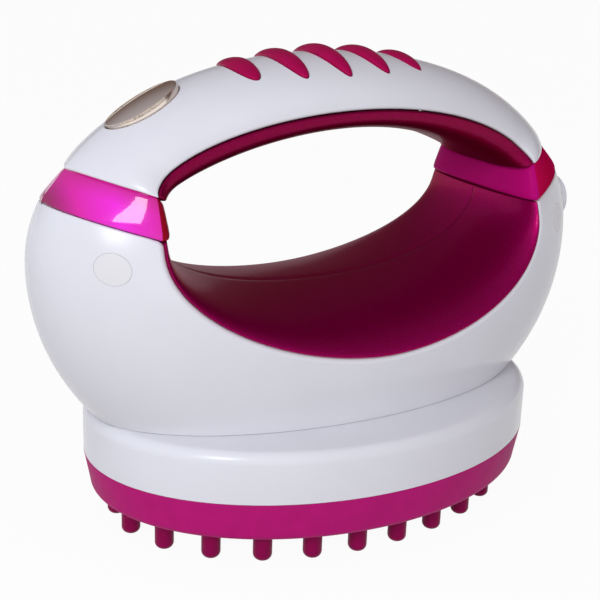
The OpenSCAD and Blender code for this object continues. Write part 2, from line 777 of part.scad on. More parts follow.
// Nubs: rings that follow the pad's outline, and a row along the middle
nub_a = head_length / 2 - nub_inset;
nub_b = head_width / 2 - nub_inset;
function oval_girth(a, b) = PI * (3 * (a + b) - sqrt((3 * a + b) * (a + 3 * b)));
function ring_nubs(a, b) = let (n = 2 * round(oval_girth(a, b) / (2 * nub_pitch)))
    [for (i = [0 : n - 1])
        let (q = 360 * (i + nub_phase) / n, t = q + (a - b) / (a + b) * 90 / PI * sin(2 * q))
            [a * cos(t), b * sin(t)]];
nub_rings = floor(nub_b / nub_pitch);
row_half = nub_a - nub_rings * nub_pitch;
row_count = floor(2 * row_half / nub_pitch) + 1;
nub_places = concat(
    [for (k = [0 : nub_rings - 1]) each ring_nubs(nub_a - k * nub_pitch, nub_b - k * nub_pitch)],
    [for (i = [0 : row_count - 1]) [(i - (row_count - 1) / 2) * nub_pitch, 0]]);

// Radius of the flat on a nub's tip, as a share of the nub's radius
nub_flat = 0.3;
module nub() {
    r = nub_d / 2;
    flat = nub_flat * r;
    rotate_extrude($fn = 32) polygon(concat([[0, 0]],
        [for (i = [0 : 4]) [flat + (r - flat) * sin(22.5 * i), (r - flat) * (1 - cos(22.5 * i))]],
        [[r, nub_length], [0, nub_length]]));
}

module massage_nubs() {
    color(magenta) for (p = nub_places) translate([p[0], p[1], 0]) nub();
}

module massage_pad() {
    r = head_length / 2;
    low_r = r - pad_draft;
    color(magenta) oval_turned(concat([[r - pad_wall, head_bottom_z], [r, head_bottom_z]],
        quarter(low_r, pad_bottom_z, pad_round, -1),
        [[0, pad_bottom_z], [0, pad_bottom_z + pad_wall], [low_r - pad_wall, pad_bottom_z + pad_wall]]));
}

plate_inset = pad_wall + pad_draft + 1;
module pad_backing_plate() {
    color("whitesmoke") difference() {
        translate([0, 0, plate_z])
            oval_cylinder(head_length - 2 * plate_inset, head_width - 2 * plate_inset, backing_t);
        for (p = pad_screw_places) translate([p[0], p[1], plate_z - over]) {
            cylinder(h = backing_t + 2 * over, r = screw_r + gap);
            cylinder(h = screw_head_h + over, r = screw_head_d / 2 + gap);
        }
    }
}

module pad_screws() {
    color(steel) for (p = pad_screw_places)
        translate([p[0], p[1], plate_z]) screw(screw_head_h, backing_t - screw_head_h + thread_reach);
}

module head_screws() {
    color(steel) for (x = [-head_screw_x, head_screw_x], y = [-head_screw_y, head_screw_y])
        translate([x, y, foot_z - head_wall - screw_head_h]) screw(screw_head_h, head_wall + thread_reach);
}

casing_screw_reach = 16;
cover_t = 1.8;
patch_steps = 3;
patch_pitch = (cover_d / 2 + 1) / patch_steps;
module casing_screws() {
    color(steel) for (side = [-1, 1])
        translate([side * cover_x, -well_floor_y - screw_head_h, cover_z]) rotate([-90, 0, 0])
            screw(screw_head_h, well_floor_y + casing_screw_reach - 2 * over);
}

module screw_covers() {
    function patch(side, depth) = [for (i = [-patch_steps : patch_steps])
        [for (j = [-patch_steps : patch_steps])
            let (x = side * cover_x + i * patch_pitch, z = cover_z + j * patch_pitch)
                skin_at(skin_angle(x, z), z) + [0, depth, 0]]];
    color(white) for (side = [-1, 1]) intersection() {
        wall_between(patch(side, 0), patch(side, cover_t));
        front_rod(side * cover_x, cover_z, cover_d / 2, body_width / 2, 0);
    }
}

// Motor and its mount, with the shaft along X
cradle_t = 2;
can_lift = 0.4;
motor_z = foot_z + cradle_t + motor_d / 2 + can_lift;
motor_clearance = 0.1;
clamp_t = 1;
clamp_w = 12;
clamp_foot = 3;
clamp_screw_y = motor_d / 2 + 4.4;
saddle_x = 11.25;
saddle_w = 4.5;
saddle_lip = 0.8;
// Distance of the saddles' tops below the motor's axis
saddle_drop = 3;
cradle_edge = 3.2;
module motor_cradle() {
    color("gainsboro") difference() {
        union() {
            translate([-motor_length / 2 + over, -clamp_screw_y - cradle_edge, foot_z])
                cube([motor_length - 2 * over, 2 * (clamp_screw_y + cradle_edge), cradle_t]);
            for (side = [-1, 1])
                translate([side * saddle_x - saddle_w / 2, -motor_d / 2 - saddle_lip, foot_z])
                    cube([saddle_w, motor_d + 2 * saddle_lip, motor_z - foot_z - saddle_drop]);
        }
        translate([-motor_length, 0, motor_z]) rotate([0, 90, 0])
            cylinder(h = 2 * motor_length, r = motor_d / 2 + motor_clearance);
        for (y = [-clamp_screw_y, clamp_screw_y])
            translate([0, y, foot_z - over]) cylinder(h = cradle_t + 2 * over, r = screw_r + gap);
    }
}

module motor_clamp() {
    inner = motor_d / 2 + motor_clearance;
    outer = inner + clamp_t;
    base_z = foot_z + cradle_t;
    foot_y = clamp_screw_y + clamp_foot;
    color(steel) difference() {
        union() {
            translate([-clamp_w / 2, 0, motor_z]) rotate([0, 90, 0]) cylinder(h = clamp_w, r = outer);
            translate([-clamp_w / 2, -outer, base_z]) cube([clamp_w, 2 * outer, motor_z - base_z]);
            translate([-clamp_w / 2, -foot_y, base_z]) cube([clamp_w, 2 * foot_y, clamp_t]);
        }
        translate([-clamp_w, 0, motor_z]) rotate([0, 90, 0]) cylinder(h = 2 * clamp_w, r = inner);
        translate([-clamp_w, -inner, base_z - over]) cube([2 * clamp_w, 2 * inner, motor_z - base_z + over]);
        translate([-clamp_w, -2 * outer, 0]) cube([2 * clamp_w, 4 * outer, base_z]);
        for (y = [-clamp_screw_y, clamp_screw_y])
            translate([0, y, base_z - over]) cylinder(h = clamp_t + 2 * over, r = screw_r + gap);
    }
}

module clamp_screws() {
    top_z = foot_z + cradle_t + clamp_t + screw_head_h;
    color(steel) for (y = [-clamp_screw_y, clamp_screw_y])
        translate([0, y, top_z]) mirror([0, 0, 1])
            screw(screw_head_h, clamp_t + cradle_t + head_wall + clamp_boss_h - 2 * over);
}

motor_boss_r = 3.2;
motor_boss_l = 1.6;
terminal_size = [0.8, 3, 4];
terminal_y = 7;
terminal_sink = 0.5;
module motor() {
    color(steel) translate([0, 0, motor_z]) rotate([0, 90, 0]) difference() {
        union() {
            cylinder(h = motor_length, d = motor_d, center = true);
            cylinder(h = motor_length + 2 * motor_boss_l, r = motor_boss_r, center = true);
            for (side = [-1, 1])
                translate([0, side * terminal_y, (motor_length + terminal_size[2]) / 2 - terminal_sink])
                    cube(terminal_size, center = true);
        }
        cylinder(h = 2 * motor_length, r = shaft_d / 2 + shaft_clearance, center = true);
    }
}

weight_gap = 0.6;
weight_x = motor_length / 2 + terminal_size[2] + weight_gap;
shaft_over = 1;
module motor_shaft() {
    color(steel) translate([0, 0, motor_z]) rotate([0, 90, 0])
        cylinder(h = 2 * (weight_x + weight_t + shaft_over), d = shaft_d, center = true);
}

hub_r = 2.8;
press_clearance = 0.02;
module eccentric_weights() {
    color("goldenrod") for (side = [-1, 1])
        translate([side * (weight_x + weight_t / 2), 0, motor_z]) rotate([0, 90, 0]) difference() {
            union() {
                cylinder(h = weight_t, r = hub_r, center = true);
                intersection() {
                    cylinder(h = weight_t, r = weight_r, center = true);
                    translate([0, -weight_r, -weight_t]) cube([weight_r, 2 * weight_r, 2 * weight_t]);
                }
            }
            cylinder(h = 2 * weight_t, r = shaft_d / 2 + press_clearance, center = true);
        }
}

board_x = 34;
board_z = foot_z + board_rise;
board_edge = 3;
board_screw_xs = [board_x + board_edge, board_x + board_length - board_edge];
module control_board() {
    color(board_green) difference() {
        translate([board_x, -board_width / 2, board_z]) cube([board_length, board_width, board_t]);
        for (x = board_screw_xs)
            translate([x, 0, board_z - over]) cylinder(h = board_t + 2 * over, r = screw_r + gap);
    }
}

// Control chip, two capacitors and two connectors
chip_size = [8, 5, 1.8];
capacitor_r = 2.5;
capacitor_h = 9;
connector_size = [4, 5, 4.5];
module board_components() {
    top = board_z + board_t;
    middle_x = board_x + board_length / 2;
    row_y = board_width / 2 - board_edge - capacitor_r;
    color(black) {
        translate([middle_x - chip_size[0] / 2, -row_y - chip_size[1] / 2, top]) cube(chip_size);
        translate([middle_x - 1.5 * capacitor_r, row_y, top]) cylinder(h = capacitor_h, r = capacitor_r);
        translate([middle_x + 1.3 * capacitor_r, row_y, top])
            cylinder(h = 0.7 * capacitor_h, r = 0.8 * capacitor_r);
        for (side = [-1, 1])
            translate([board_x + board_length - board_edge / 2 - connector_size[0],
                side * (row_y + 1) - connector_size[1] / 2, top])
                cube(connector_size);
    }
}

module board_screws() {
    color(steel) for (x = board_screw_xs)
        translate([x, 0, board_z + board_t + screw_head_h]) mirror([0, 0, 1])
            screw(screw_head_h, board_t + board_rise);
}

// Power inlet at the right end, along X
inlet_x = half_length(inlet_z) + inlet_proud;
collar_length = 9;
collar_back_x = inlet_x - collar_length;
collar_flange = 1.2;
collar_flange_t = 1;
collar_bevel = 0.8;
socket_wall = 1;
socket_r = socket_d / 2 + socket_wall;
socket_back_x = cover_x + frame_boss_r + over;
module inlet_collar() {
    bore_r = socket_r + gap / 2;
    r = inlet_d / 2;
    nip = 0.3 * collar_bevel;
    color(white) translate([collar_back_x, 0, inlet_z]) rotate([0, 90, 0]) rotate_extrude($fn = 64)
        polygon([[bore_r, 0], [r + collar_flange, 0], [r + collar_flange, collar_flange_t],
            [r, collar_flange_t], [r, collar_length - collar_bevel], [r - nip, collar_length - nip],
            [r - collar_bevel, collar_length], [bore_r, collar_length]]);
}

socket_recess = 0.8;
socket_floor = 2;
socket_length = inlet_x - socket_recess - socket_back_x;
module power_socket() {
    color(black) translate([socket_back_x, 0, inlet_z]) rotate([0, 90, 0]) difference() {
        cylinder(h = socket_length, r = socket_r);
        translate([0, 0, socket_floor]) cylinder(h = socket_length, d = socket_d);
    }
}

pin_r = 1;
module socket_pin() {
    color(steel) translate([socket_back_x + socket_floor, 0, inlet_z]) rotate([0, 90, 0])
        cylinder(h = socket_length - socket_floor - over, r = pin_r);
}

front_body_shell();
rear_body_shell();
front_palm_liner();
rear_palm_liner();
handle_shell();
handle_liner();
handle_frame();
handle_screws();
left_light_band();
right_light_band();
left_light_board();
right_light_board();
band_leds();
grip_ridges();
power_button();
switch_plunger();
tact_switch();
button_board();
head_housing();
massage_pad();
massage_nubs();
pad_backing_plate();
pad_screws();
head_screws();
casing_screws();
screw_covers();
motor_cradle();
motor_clamp();
clamp_screws();
motor();
motor_shaft();
eccentric_weights();
control_board();
board_components();
board_screws();
inlet_collar();
power_socket();
socket_pin();
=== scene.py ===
import json
import math
import bpy
import numpy as np
from mathutils import Matrix
from mathutils.geometry import delaunay_2d_cdt


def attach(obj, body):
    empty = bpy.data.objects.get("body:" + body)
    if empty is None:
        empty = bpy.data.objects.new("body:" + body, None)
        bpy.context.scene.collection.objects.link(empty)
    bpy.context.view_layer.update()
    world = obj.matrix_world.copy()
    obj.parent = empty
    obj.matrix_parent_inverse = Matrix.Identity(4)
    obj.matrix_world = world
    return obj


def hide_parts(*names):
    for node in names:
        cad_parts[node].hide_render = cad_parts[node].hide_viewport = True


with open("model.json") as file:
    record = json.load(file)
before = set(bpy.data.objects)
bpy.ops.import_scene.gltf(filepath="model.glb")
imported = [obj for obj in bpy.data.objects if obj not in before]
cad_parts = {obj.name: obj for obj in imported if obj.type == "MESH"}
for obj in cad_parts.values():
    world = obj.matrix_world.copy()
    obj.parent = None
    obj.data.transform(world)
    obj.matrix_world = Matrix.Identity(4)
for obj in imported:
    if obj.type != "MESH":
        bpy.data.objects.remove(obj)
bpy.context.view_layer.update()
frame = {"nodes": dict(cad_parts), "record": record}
nodes = frame["nodes"]
MM = 0.001

# Sizes of the part in millimetres, with angles in degrees and powers of its curves
HEAD_L, HEAD_W, HEAD_H, HEAD_WALL, HEAD_ROUND = 132.0, 96.4, 13.6, 2.4, 3.2
PAD_H, PAD_WALL, PAD_ROUND, PAD_DRAFT = 10.7, 3.0, 2.2, 1.6
NUB_L, NUB_D, NUB_INSET, NUB_PITCH, NUB_PHASE = 8.6, 5.0, 8.6, 12.75, 0.35
BODY_L, BODY_W = 162.6, 78.0
DOME_RISE, DOME_POWER, END_TAPER, SIDE_TAPER, SIDE_RISE = 50.0, 2.06, 69.0, 47.8, 50.0
WALL, GAP, LINER_T = 2.2, 0.3, 1.8
OPENING_L, LOW_SHOULDER, OPENING_DROP, OPENING_RISE = 112.6, 48.4, 29.0, 17.7
THROAT_L, THROAT_DROP, THROAT_RISE, LIP_DROP = 104.0, 21.2, 11.4, 2.5
BAND_RISE, BAND_H, BAND_LOW, BAND_HIGH = 51.7, 9.6, 16.0, 15.0
BAND_PROUD, BAND_RECESS, BAND_WALL = 0.4, 0.8, 2.4
HANDLE_W, HANDLE_WAIST, HANDLE_ROOT, CREST_POWER, ROOT_POWER = 44.0, 37.0, 42.0, 1.85, 1.35
RIDGES, RIDGE_PITCH, RIDGE_SHIFT, RIDGE_L, RIDGE_SHRINK = 5, 12.0, 2.0, 32.0, 1.1
RIDGE_W, RIDGE_BOW, RIDGE_SKEW, RIDGE_H = 6.2, 0.8, 0.6, 1.9
RIDGE_FADE, RIDGE_SEAT, RIDGE_TIP = 0.3, 1.0, 0.5
BUTTON_L, BUTTON_W, BUTTON_X, BUTTON_Y, BUTTON_PROUD = 20.6, 12.8, 52.2, 0.8, 1.0
BUTTON_LEAN, BUTTON_ARCH, BUTTON_CROWN = 3.0, 60.0, 14.0
FLANGE_Z, FLANGE_T, FLANGE_LIP = -4.18, 1.0, 0.8
INLET_D, SOCKET_D, INLET_RISE, INLET_PROUD = 14.0, 6.4, 45.6, 1.8
COVER_X, COVER_RISE, COVER_D = 67.4, 45.1, 7.4
LOW_RIM_P, HIGH_RIM_P, THROAT_P, HIGH_THROAT_P = 1.8, 1.5, 2.2, 1.05
TROUGH_ROLL, LIP_ROLL, BAND_ROLL = 1.8, 3.0, 3.0
LOW_K, WAIST_ANGLE = 13.0, 66.0

HEAD_Z = NUB_L + PAD_H
FOOT_Z = HEAD_Z + HEAD_H
GIRTH_Z = FOOT_Z + 41.4
WIDTH_Z = FOOT_Z + 26.4
SHOULDER_Z = FOOT_Z + LOW_SHOULDER
BAND_Z = FOOT_Z + BAND_RISE
BAND_TOP_Z = BAND_Z + BAND_H
A_RIM, A_THROAT = OPENING_L / 2, THROAT_L / 2
SEAM, LINE, LID_GAP = 0.06, 0.1, 0.03


def sin(a):
    return np.sin(np.radians(a))


def cos(a):
    return np.cos(np.radians(a))


def mix(a, b, t):
    return a + (b - a) * t


def spow(v, n):
    return np.sign(v) * np.abs(v) ** n


def points(x, y, z):
    x, y, z = np.broadcast_arrays(np.asarray(x, float), y, z)
    return np.stack([x, y, z], -1)


def unit(v):
    return v / np.maximum(np.linalg.norm(v, axis=-1, keepdims=True), 1e-12)


# Outlines of the part, as in its source
def around(n):
    """Angles of n points on a circle."""
    return np.linspace(0, 360, n + 1)[:-1]


def half_length(z):
    low = np.sqrt(np.clip(1 - ((GIRTH_Z - z) / END_TAPER) ** 2, 0, 1))
    share = np.clip((z - GIRTH_Z) / DOME_RISE, 0, 1)
    high = np.clip(1 - share ** DOME_POWER, 0, 1) ** (1 / DOME_POWER)
    return BODY_L / 2 * np.where(z < GIRTH_Z, low, high)


def half_width(z):
    low = np.sqrt(np.clip(1 - ((WIDTH_Z - z) / SIDE_TAPER) ** 2, 0, 1))
    high = np.sqrt(np.clip(1 - ((z - WIDTH_Z) / SIDE_RISE) ** 2, 0, 1))
    return BODY_W / 2 * np.where(z < WIDTH_Z, low, high)


def skin_angle(x, z):
    return np.degrees(np.arccos(np.clip(x / half_length(z), -1, 1)))


def band_low_z(x):
    return BAND_Z + math.tan(math.radians(BAND_LOW)) * (np.abs(x) - A_RIM)


def band_high_z(x):
    return BAND_TOP_Z + math.tan(math.radians(BAND_HIGH)) * (np.abs(x) - A_RIM)


def settle(step, x, n):
    for _ in range(n):
        x = step(x)
    return float(x)


LOW_END_X = settle(lambda x: half_length(band_low_z(x) - GAP), BODY_L / 2, 7)


def low_rim(k):
    a = np.clip(np.abs(k), 0, LOW_K)
    up = np.clip(np.abs(k) - LOW_K, 0, 1)
    return (np.sign(k) * A_RIM * sin(90 * a / LOW_K) ** (2 / LOW_RIM_P),
            mix(SHOULDER_Z - OPENING_DROP * cos(90 * a / LOW_K), BAND_Z - GAP, up))


def low_throat(k):
    t = 90 * k / (LOW_K + 1)
    return A_THROAT * spow(sin(t), 2 / THROAT_P), BAND_Z - GAP - THROAT_DROP * cos(t)


def high_rim(a):
    return A_RIM * sin(a), BAND_TOP_Z + GAP + OPENING_RISE * np.abs(cos(a)) ** (2 / HIGH_RIM_P)


def high_throat(a):
    rise = (THROAT_RISE + LIP_DROP) * np.abs(cos(a)) ** (2 / HIGH_THROAT_P)
    return A_THROAT * sin(a), BAND_TOP_Z + GAP - LIP_DROP + rise


def crest_at(a):
    power = 2 / DOME_POWER
    return BODY_L / 2 * spow(cos(a), power), GIRTH_Z + DOME_RISE * spow(sin(a), power)


def find_root():
    low, high = 5.0, 60.0
    for _ in range(30):
        mid = (low + high) / 2
        x, z = crest_at(mid)
        if z - GAP - band_high_z(x) < 0:
            low = mid
        else:
            high = mid
    return (low + high) / 2


ROOT_ANGLE = find_root()


def high_crest(a):
    x, z = crest_at(90 - (90 - ROOT_ANGLE) * np.abs(a) / 90)
    return np.where(a < 0, -x, x), z


def handle_half(a):
    b = np.abs(a)
    past = (b - WAIST_ANGLE) / (90 - WAIST_ANGLE)
    one = mix(HANDLE_W, HANDLE_WAIST, sin(90 * np.clip(b / WAIST_ANGLE, 0, 1)) ** 2)
    two = mix(HANDLE_WAIST, HANDLE_ROOT, sin(90 * np.clip(past, 0, 1)) ** 2)
    return np.where(b < WAIST_ANGLE, one, two) / 2


def section_power(a):
    return mix(ROOT_POWER, CREST_POWER, np.abs(cos(a)) ** 0.6)


def roll(s, power):
    return 1 - np.clip(1 - np.abs(s) ** power, 0, 1) ** (1 / power)


# Surfaces of the part: each gives points for two parameters, both near one unit to the millimetre
SKIN_R = 60.0


def skin(u, v):
    a = u / SKIN_R
    return points(half_length(v) * np.cos(a), -half_width(v) * np.sin(a), v)


def crest_height(x):
    return GIRTH_Z + DOME_RISE * (1 - (np.abs(x) / (BODY_L / 2)) ** DOME_POWER) ** (1 / DOME_POWER)


# Lengths of the handle's surface along and across, and the power that evens its end steps
HANDLE_ARC, HANDLE_SPAN, ARC_EASE = 84.0, 38.0, 0.85


def eased(share, power):
    """Angle from -90 to 90 for a share from -1 to 1, with its end steps spread by a power."""
    return np.sign(share) * 90 * (1 - np.clip(1 - np.abs(share), 0, 1) ** power)


def share_of(angle, power):
    return np.sign(angle) * (1 - np.clip(1 - np.abs(angle) / 90, 0, 1) ** (1 / power))


def handle(u, v):
    a = eased(u / HANDLE_ARC, ARC_EASE)
    s = eased(v / HANDLE_SPAN, section_power(a) / 2)
    rx, rz = high_rim(a)
    cx, cz = high_crest(a)
    p = 2 / section_power(a)
    m = np.abs(cos(s)) ** p
    return points(mix(rx, cx, m), handle_half(a) * spow(sin(s), p), mix(rz, cz, m))


def handle_uv(x, y):
    """Parameters of the handle's surface over a place on the plan."""
    x, y = np.broadcast_arrays(np.asarray(x, float), np.asarray(y, float))
    u = HANDLE_ARC * share_of(np.degrees(np.arcsin(np.clip(x / A_RIM, -1, 1))), ARC_EASE)

    def across(u):
        a = eased(u / HANDLE_ARC, ARC_EASE)
        p = section_power(a)
        s = np.degrees(np.arcsin(np.clip(spow(y / handle_half(a), p / 2), -1, 1)))
        return HANDLE_SPAN * share_of(s, p / 2)

    for _ in range(12):
        v = across(u)
        here = handle(u, v)
        ahead = handle(u + 0.01, v)
        slope = np.maximum((ahead[..., 0] - here[..., 0]) / 0.01, 0.2)
        u = u + np.clip((x - here[..., 0]) / slope, -3, 3)
    return u, across(u)


# Mesh helpers
def finish_mesh(name, verts, faces, normals=None, sharp=None):
    me = bpy.data.meshes.new(name)
    me.from_pydata([tuple(p) for p in np.asarray(verts, float) * MM], [], faces)
    me.validate(clean_customdata=False)
    me.shade_smooth()
    if sharp is not None:
        me.set_sharp_from_angle(angle=math.radians(sharp))
    if normals is not None:
        me.normals_split_custom_set_from_vertices([tuple(n) for n in normals])
    o = bpy.data.objects.new(name, me)
    bpy.context.scene.collection.objects.link(o)
    return o


def tangents(S, u, v, e=0.02):
    su = (S(u + e, v) - S(u - e, v)) / (2 * e)
    sv = (S(u, v + e) - S(u, v - e)) / (2 * e)
    return su, sv


def inside(poly, q):
    """Which of the points q lie inside a closed outline, by the crossings of a ray."""
    x, y = q[:, 0], q[:, 1]
    hit = np.zeros(len(q), bool)
    for (x0, y0), (x1, y1) in zip(poly, np.roll(poly, -1, 0)):
        if y0 == y1:
            continue
        hit ^= ((y0 > y) != (y1 > y)) & (x < (x1 - x0) * (y - y0) / (y1 - y0) + x0)
    return hit


def area2(poly):
    x, y = poly[:, 0], poly[:, 1]
    return float(np.sum(x * np.roll(y, -1) - np.roll(x, -1) * y))


def edge_rows(S, p, r, wall, turn, rings):
    """Points and normals of an edge, from the back over its round, and where the face begins."""
    P = S(p[:, 0], p[:, 1])
    su, sv = tangents(S, p[:, 0], p[:, 1])
    N0 = unit(np.cross(su, sv))
    T = unit(np.roll(P, -1, 0) - np.roll(P, 1, 0))
    I = unit(np.cross(N0, T))
    # the step in (u, v) that moves one millimetre inwards
    E, F, G = (su * su).sum(1), (su * sv).sum(1), (sv * sv).sum(1)
    a, b = (I * su).sum(1), (I * sv).sum(1)
    det = np.maximum(E * G - F * F, 1e-9)
    inwards = np.stack([(a * G - b * F) / det, (b * E - a * F) / det], -1)
    rows, normals = [P - N0 * turn * wall], [unit(-I - N0 * turn)]
    for j in range(rings + 1):
        f = math.pi / 2 * j / rings
        q = p + inwards * (r * (1 - math.cos(f)))[:, None]
        su, sv = tangents(S, q[:, 0], q[:, 1])
        out = unit(np.cross(su, sv)) * turn
        rows.append(S(q[:, 0], q[:, 1]) - out * (r * (1 - math.sin(f)))[:, None])
        normals.append(unit(out * math.sin(f) - I * math.cos(f)))
    return rows, normals, q


def fill(loops, step):
    """Points and triangles between closed outlines, and for each point its place in them or -1."""
    def between(q):
        ok = inside(loops[0], q)
        for hole in loops[1:]:
            ok &= ~inside(hole, q)
        return ok

    lo, hi = loops[0].min(0), loops[0].max(0)
    gu = np.arange(lo[0] + step * 0.5, hi[0], step)
    gv = np.arange(lo[1] + step * 0.433, hi[1], step * 0.866)
    grid = np.array([(x + (0.5 * step if j % 2 else 0), y) for j, y in enumerate(gv) for x in gu])
    grid = grid[between(grid)]
    border = np.vstack(loops)
    far = np.ones(len(grid), bool)
    for i in range(0, len(grid), 2000):
        d2 = ((grid[i:i + 2000, None, :] - border[None]) ** 2).sum(2).min(1)
        far[i:i + 2000] = d2 > (0.55 * step) ** 2
    edges, start = [], 0
    for q in loops:
        m = len(q)
        edges += [(start + i, start + (i + 1) % m) for i in range(m)]
        start += m
    flat = [tuple(map(float, p)) for p in np.vstack([border, grid[far]])]
    spots, _, tris, origins, _, _ = delaunay_2d_cdt(flat, edges, [], 0, 1e-7)
    spots = np.array([tuple(p) for p in spots])
    tri = np.array([t for t in tris if len(t) == 3])
    tri = tri[between(spots[tri].mean(1))]
    first = np.array([o[0] if len(o) else -1 for o in origins])
    return spots, tri, np.where(first < len(border), first, -1)


def patch(name, S, loops, radii, wall, step, turn=1.0, rings=5):
    """Closed piece of a surface with rolled edges along all its outlines.
    S gives points for (u, v). Loops are closed outlines in (u, v), the outer one first. Radii give
    each outline's rounding, as one number or one for each point. Turn is 1 where Su x Sv points out
    of the part and -1 where it points in."""
    verts, normals, faces = [], [], []
    inner_loops, back_ids, flush_ids = [], [], []
    total = 0
    for p, r in zip(loops, radii):
        n = len(p)
        r = np.full(n, float(r)) if np.isscalar(r) else r
        # the outer outline runs one way round and the holes the other
        if (area2(p) < 0) == (p is loops[0]):
            p, r = p[::-1], r[::-1]
        rows, ups, q = edge_rows(S, p, r, wall, turn, rings)
        verts += rows
        normals += ups
        ids = total + np.arange(len(rows) * n).reshape(len(rows), n)
        total += len(rows) * n
        for lo, hi in zip(ids, ids[1:]):
            for i in range(n):
                k = (i + 1) % n
                quad = (lo[i], lo[k], hi[k], hi[i])
                faces.append(quad if turn > 0 else quad[::-1])
        inner_loops.append(q)
        back_ids.append(ids[0])
        flush_ids.append(ids[-1])
    spots, tri, first = fill(inner_loops, step)
    free = first < 0
    k = int(free.sum())
    su, sv = tangents(S, spots[:, 0], spots[:, 1])
    out = unit(np.cross(su, sv))[free] * turn
    at = S(spots[:, 0], spots[:, 1])[free]
    verts += [at, at - out * wall]
    normals += [out, -out]
    sides = []
    for border_ids, start in ((flush_ids, total), (back_ids, total + k)):
        ids = np.concatenate(border_ids)[first]
        ids[free] = start + np.arange(k)
        sides.append(ids)
    a, b, c = spots[tri[:, 0]], spots[tri[:, 1]], spots[tri[:, 2]]
    ab, ac = b - a, c - a
    sign = ab[:, 0] * ac[:, 1] - ab[:, 1] * ac[:, 0]
    tri = np.where((sign * turn < 0)[:, None], tri[:, ::-1], tri)
    faces += [sides[0][t] for t in tri]
    faces += [sides[1][t[::-1]] for t in tri]
    faces = [tuple(map(int, f)) for f in faces]
    return finish_mesh(name, np.vstack(verts), faces, np.vstack(normals))


def loft(name, grid, close_rows=False, close_cols=False, caps=False, sharp=None, flip=False):
    """Mesh over a grid of points; caps close the first and last row with fans."""
    grid = np.asarray(grid, float)
    rows, cols = grid.shape[:2]
    verts = grid.reshape(-1, 3)
    faces = []
    for r in range(rows if close_rows else rows - 1):
        for c in range(cols if close_cols else cols - 1):
            a, b = r * cols + c, r * cols + (c + 1) % cols
            d, e = ((r + 1) % rows) * cols + c, ((r + 1) % rows) * cols + (c + 1) % cols
            faces.append((a, b, e, d))
    if caps:
        first, last = len(verts), len(verts) + 1
        verts = np.vstack([verts, grid[0].mean(0), grid[-1].mean(0)])
        for c in range(cols):
            n = (c + 1) % cols
            faces.append((first, n, c))
            faces.append((last, (rows - 1) * cols + c, (rows - 1) * cols + n))
    if flip:
        faces = [f[::-1] for f in faces]
    return finish_mesh(name, verts, faces, sharp=sharp)


def mirrored(o, name, axis):
    """Copy of a piece, mirrored through the middle of the part."""
    me = o.data
    n = len(me.vertices)
    co = np.empty(n * 3, np.float32)
    me.vertices.foreach_get("co", co)
    co = co.reshape(-1, 3)
    co[:, axis] *= -1
    faces = [tuple(reversed(p.vertices)) for p in me.polygons]
    nor = None
    if me.has_custom_normals:
        nor = np.zeros((n, 3))
        for loop, corner in zip(me.loops, me.corner_normals):
            nor[loop.vertex_index] = corner.vector
        nor[:, axis] *= -1
    return finish_mesh(name, co / MM, faces, nor, sharp=40 if nor is None else None)


def standing(x, y, z, at):
    """Matrix of an object with these axes at a place in metres."""
    m = np.eye(4)
    m[:3, 0], m[:3, 1], m[:3, 2], m[:3, 3] = x, y, z, at
    return Matrix(m.tolist())


def place(o, body, slot, *stand_for):
    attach(o, body)
    if stand_for:
        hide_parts(*stand_for)
    return o


# Camera at the photograph's place
CAMERA_AT, CAMERA_LENS = np.array((-170.2, -282.5, 161.1)), 74.8
CAMERA_AHEAD, CAMERA_RIGHT = np.array((0.481, 0.822, -0.304)), np.array((0.868, -0.4955, 0.0326))
ahead = unit(CAMERA_AHEAD)
right = unit(CAMERA_RIGHT - ahead * CAMERA_RIGHT.dot(ahead))
cam_data = bpy.data.cameras.new("camera")
cam_data.lens = CAMERA_LENS
cam_data.sensor_width = 36
cam_data.clip_start = 0.01
cam = bpy.data.objects.new("camera", cam_data)
cam.matrix_world = standing(right, np.cross(right, ahead), -ahead, CAMERA_AT * MM)
bpy.context.scene.collection.objects.link(cam)
bpy.context.scene.camera = cam
bpy.context.scene.view_settings.view_transform = "Standard"


# Materials
def material(name, **values):
    m = bpy.data.materials.new(name)
    m.use_nodes = True
    b = m.node_tree.nodes["Principled BSDF"]
    for key, value in values.items():
        b.inputs[key].default_value = value
    return m, m.node_tree, b


def node(tree, kind, **values):
    n = tree.nodes.new(kind)
    for key, value in values.items():
        if key in n.inputs.keys():
            n.inputs[key].default_value = value
        else:
            setattr(n, key, value)
    return n


def coords(tree, scale=1.0):
    t = node(tree, "ShaderNodeTexCoord")
    m = node(tree, "ShaderNodeMapping")
    m.inputs["Scale"].default_value = (scale, scale, scale) if np.isscalar(scale) else scale
    tree.links.new(t.outputs["Object"], m.inputs["Vector"])
    return m.outputs["Vector"]


def ramp(tree, value, stops):
    r = node(tree, "ShaderNodeValToRGB")
    while len(r.color_ramp.elements) < len(stops):
        r.color_ramp.elements.new(0.5)
    for e, (pos, color) in zip(r.color_ramp.elements, stops):
        e.position = pos
        e.color = (*color, 1)
    tree.links.new(value, r.inputs["Fac"])
    return r.outputs["Color"]


def noise(tree, scale, detail, vec=None):
    n = node(tree, "ShaderNodeTexNoise", Scale=scale, Detail=detail)
    tree.links.new(vec if vec is not None else coords(tree), n.inputs["Vector"])
    return n.outputs["Fac"]


def bump(tree, shader, height, strength, distance):
    b = node(tree, "ShaderNodeBump", Strength=strength, Distance=distance)
    tree.links.new(height, b.inputs["Height"])
    tree.links.new(b.outputs["Normal"], shader.inputs["Normal"])
    return b


def vary_gloss(tree, shader, value, smooth, rough):
    """Roughness that goes from smooth to rough with a value."""
    r = node(tree, "ShaderNodeMapRange")
    r.inputs["To Min"].default_value, r.inputs["To Max"].default_value = smooth, rough
    tree.links.new(value, r.inputs["Value"])
    tree.links.new(r.outputs["Result"], shader.inputs["Roughness"])


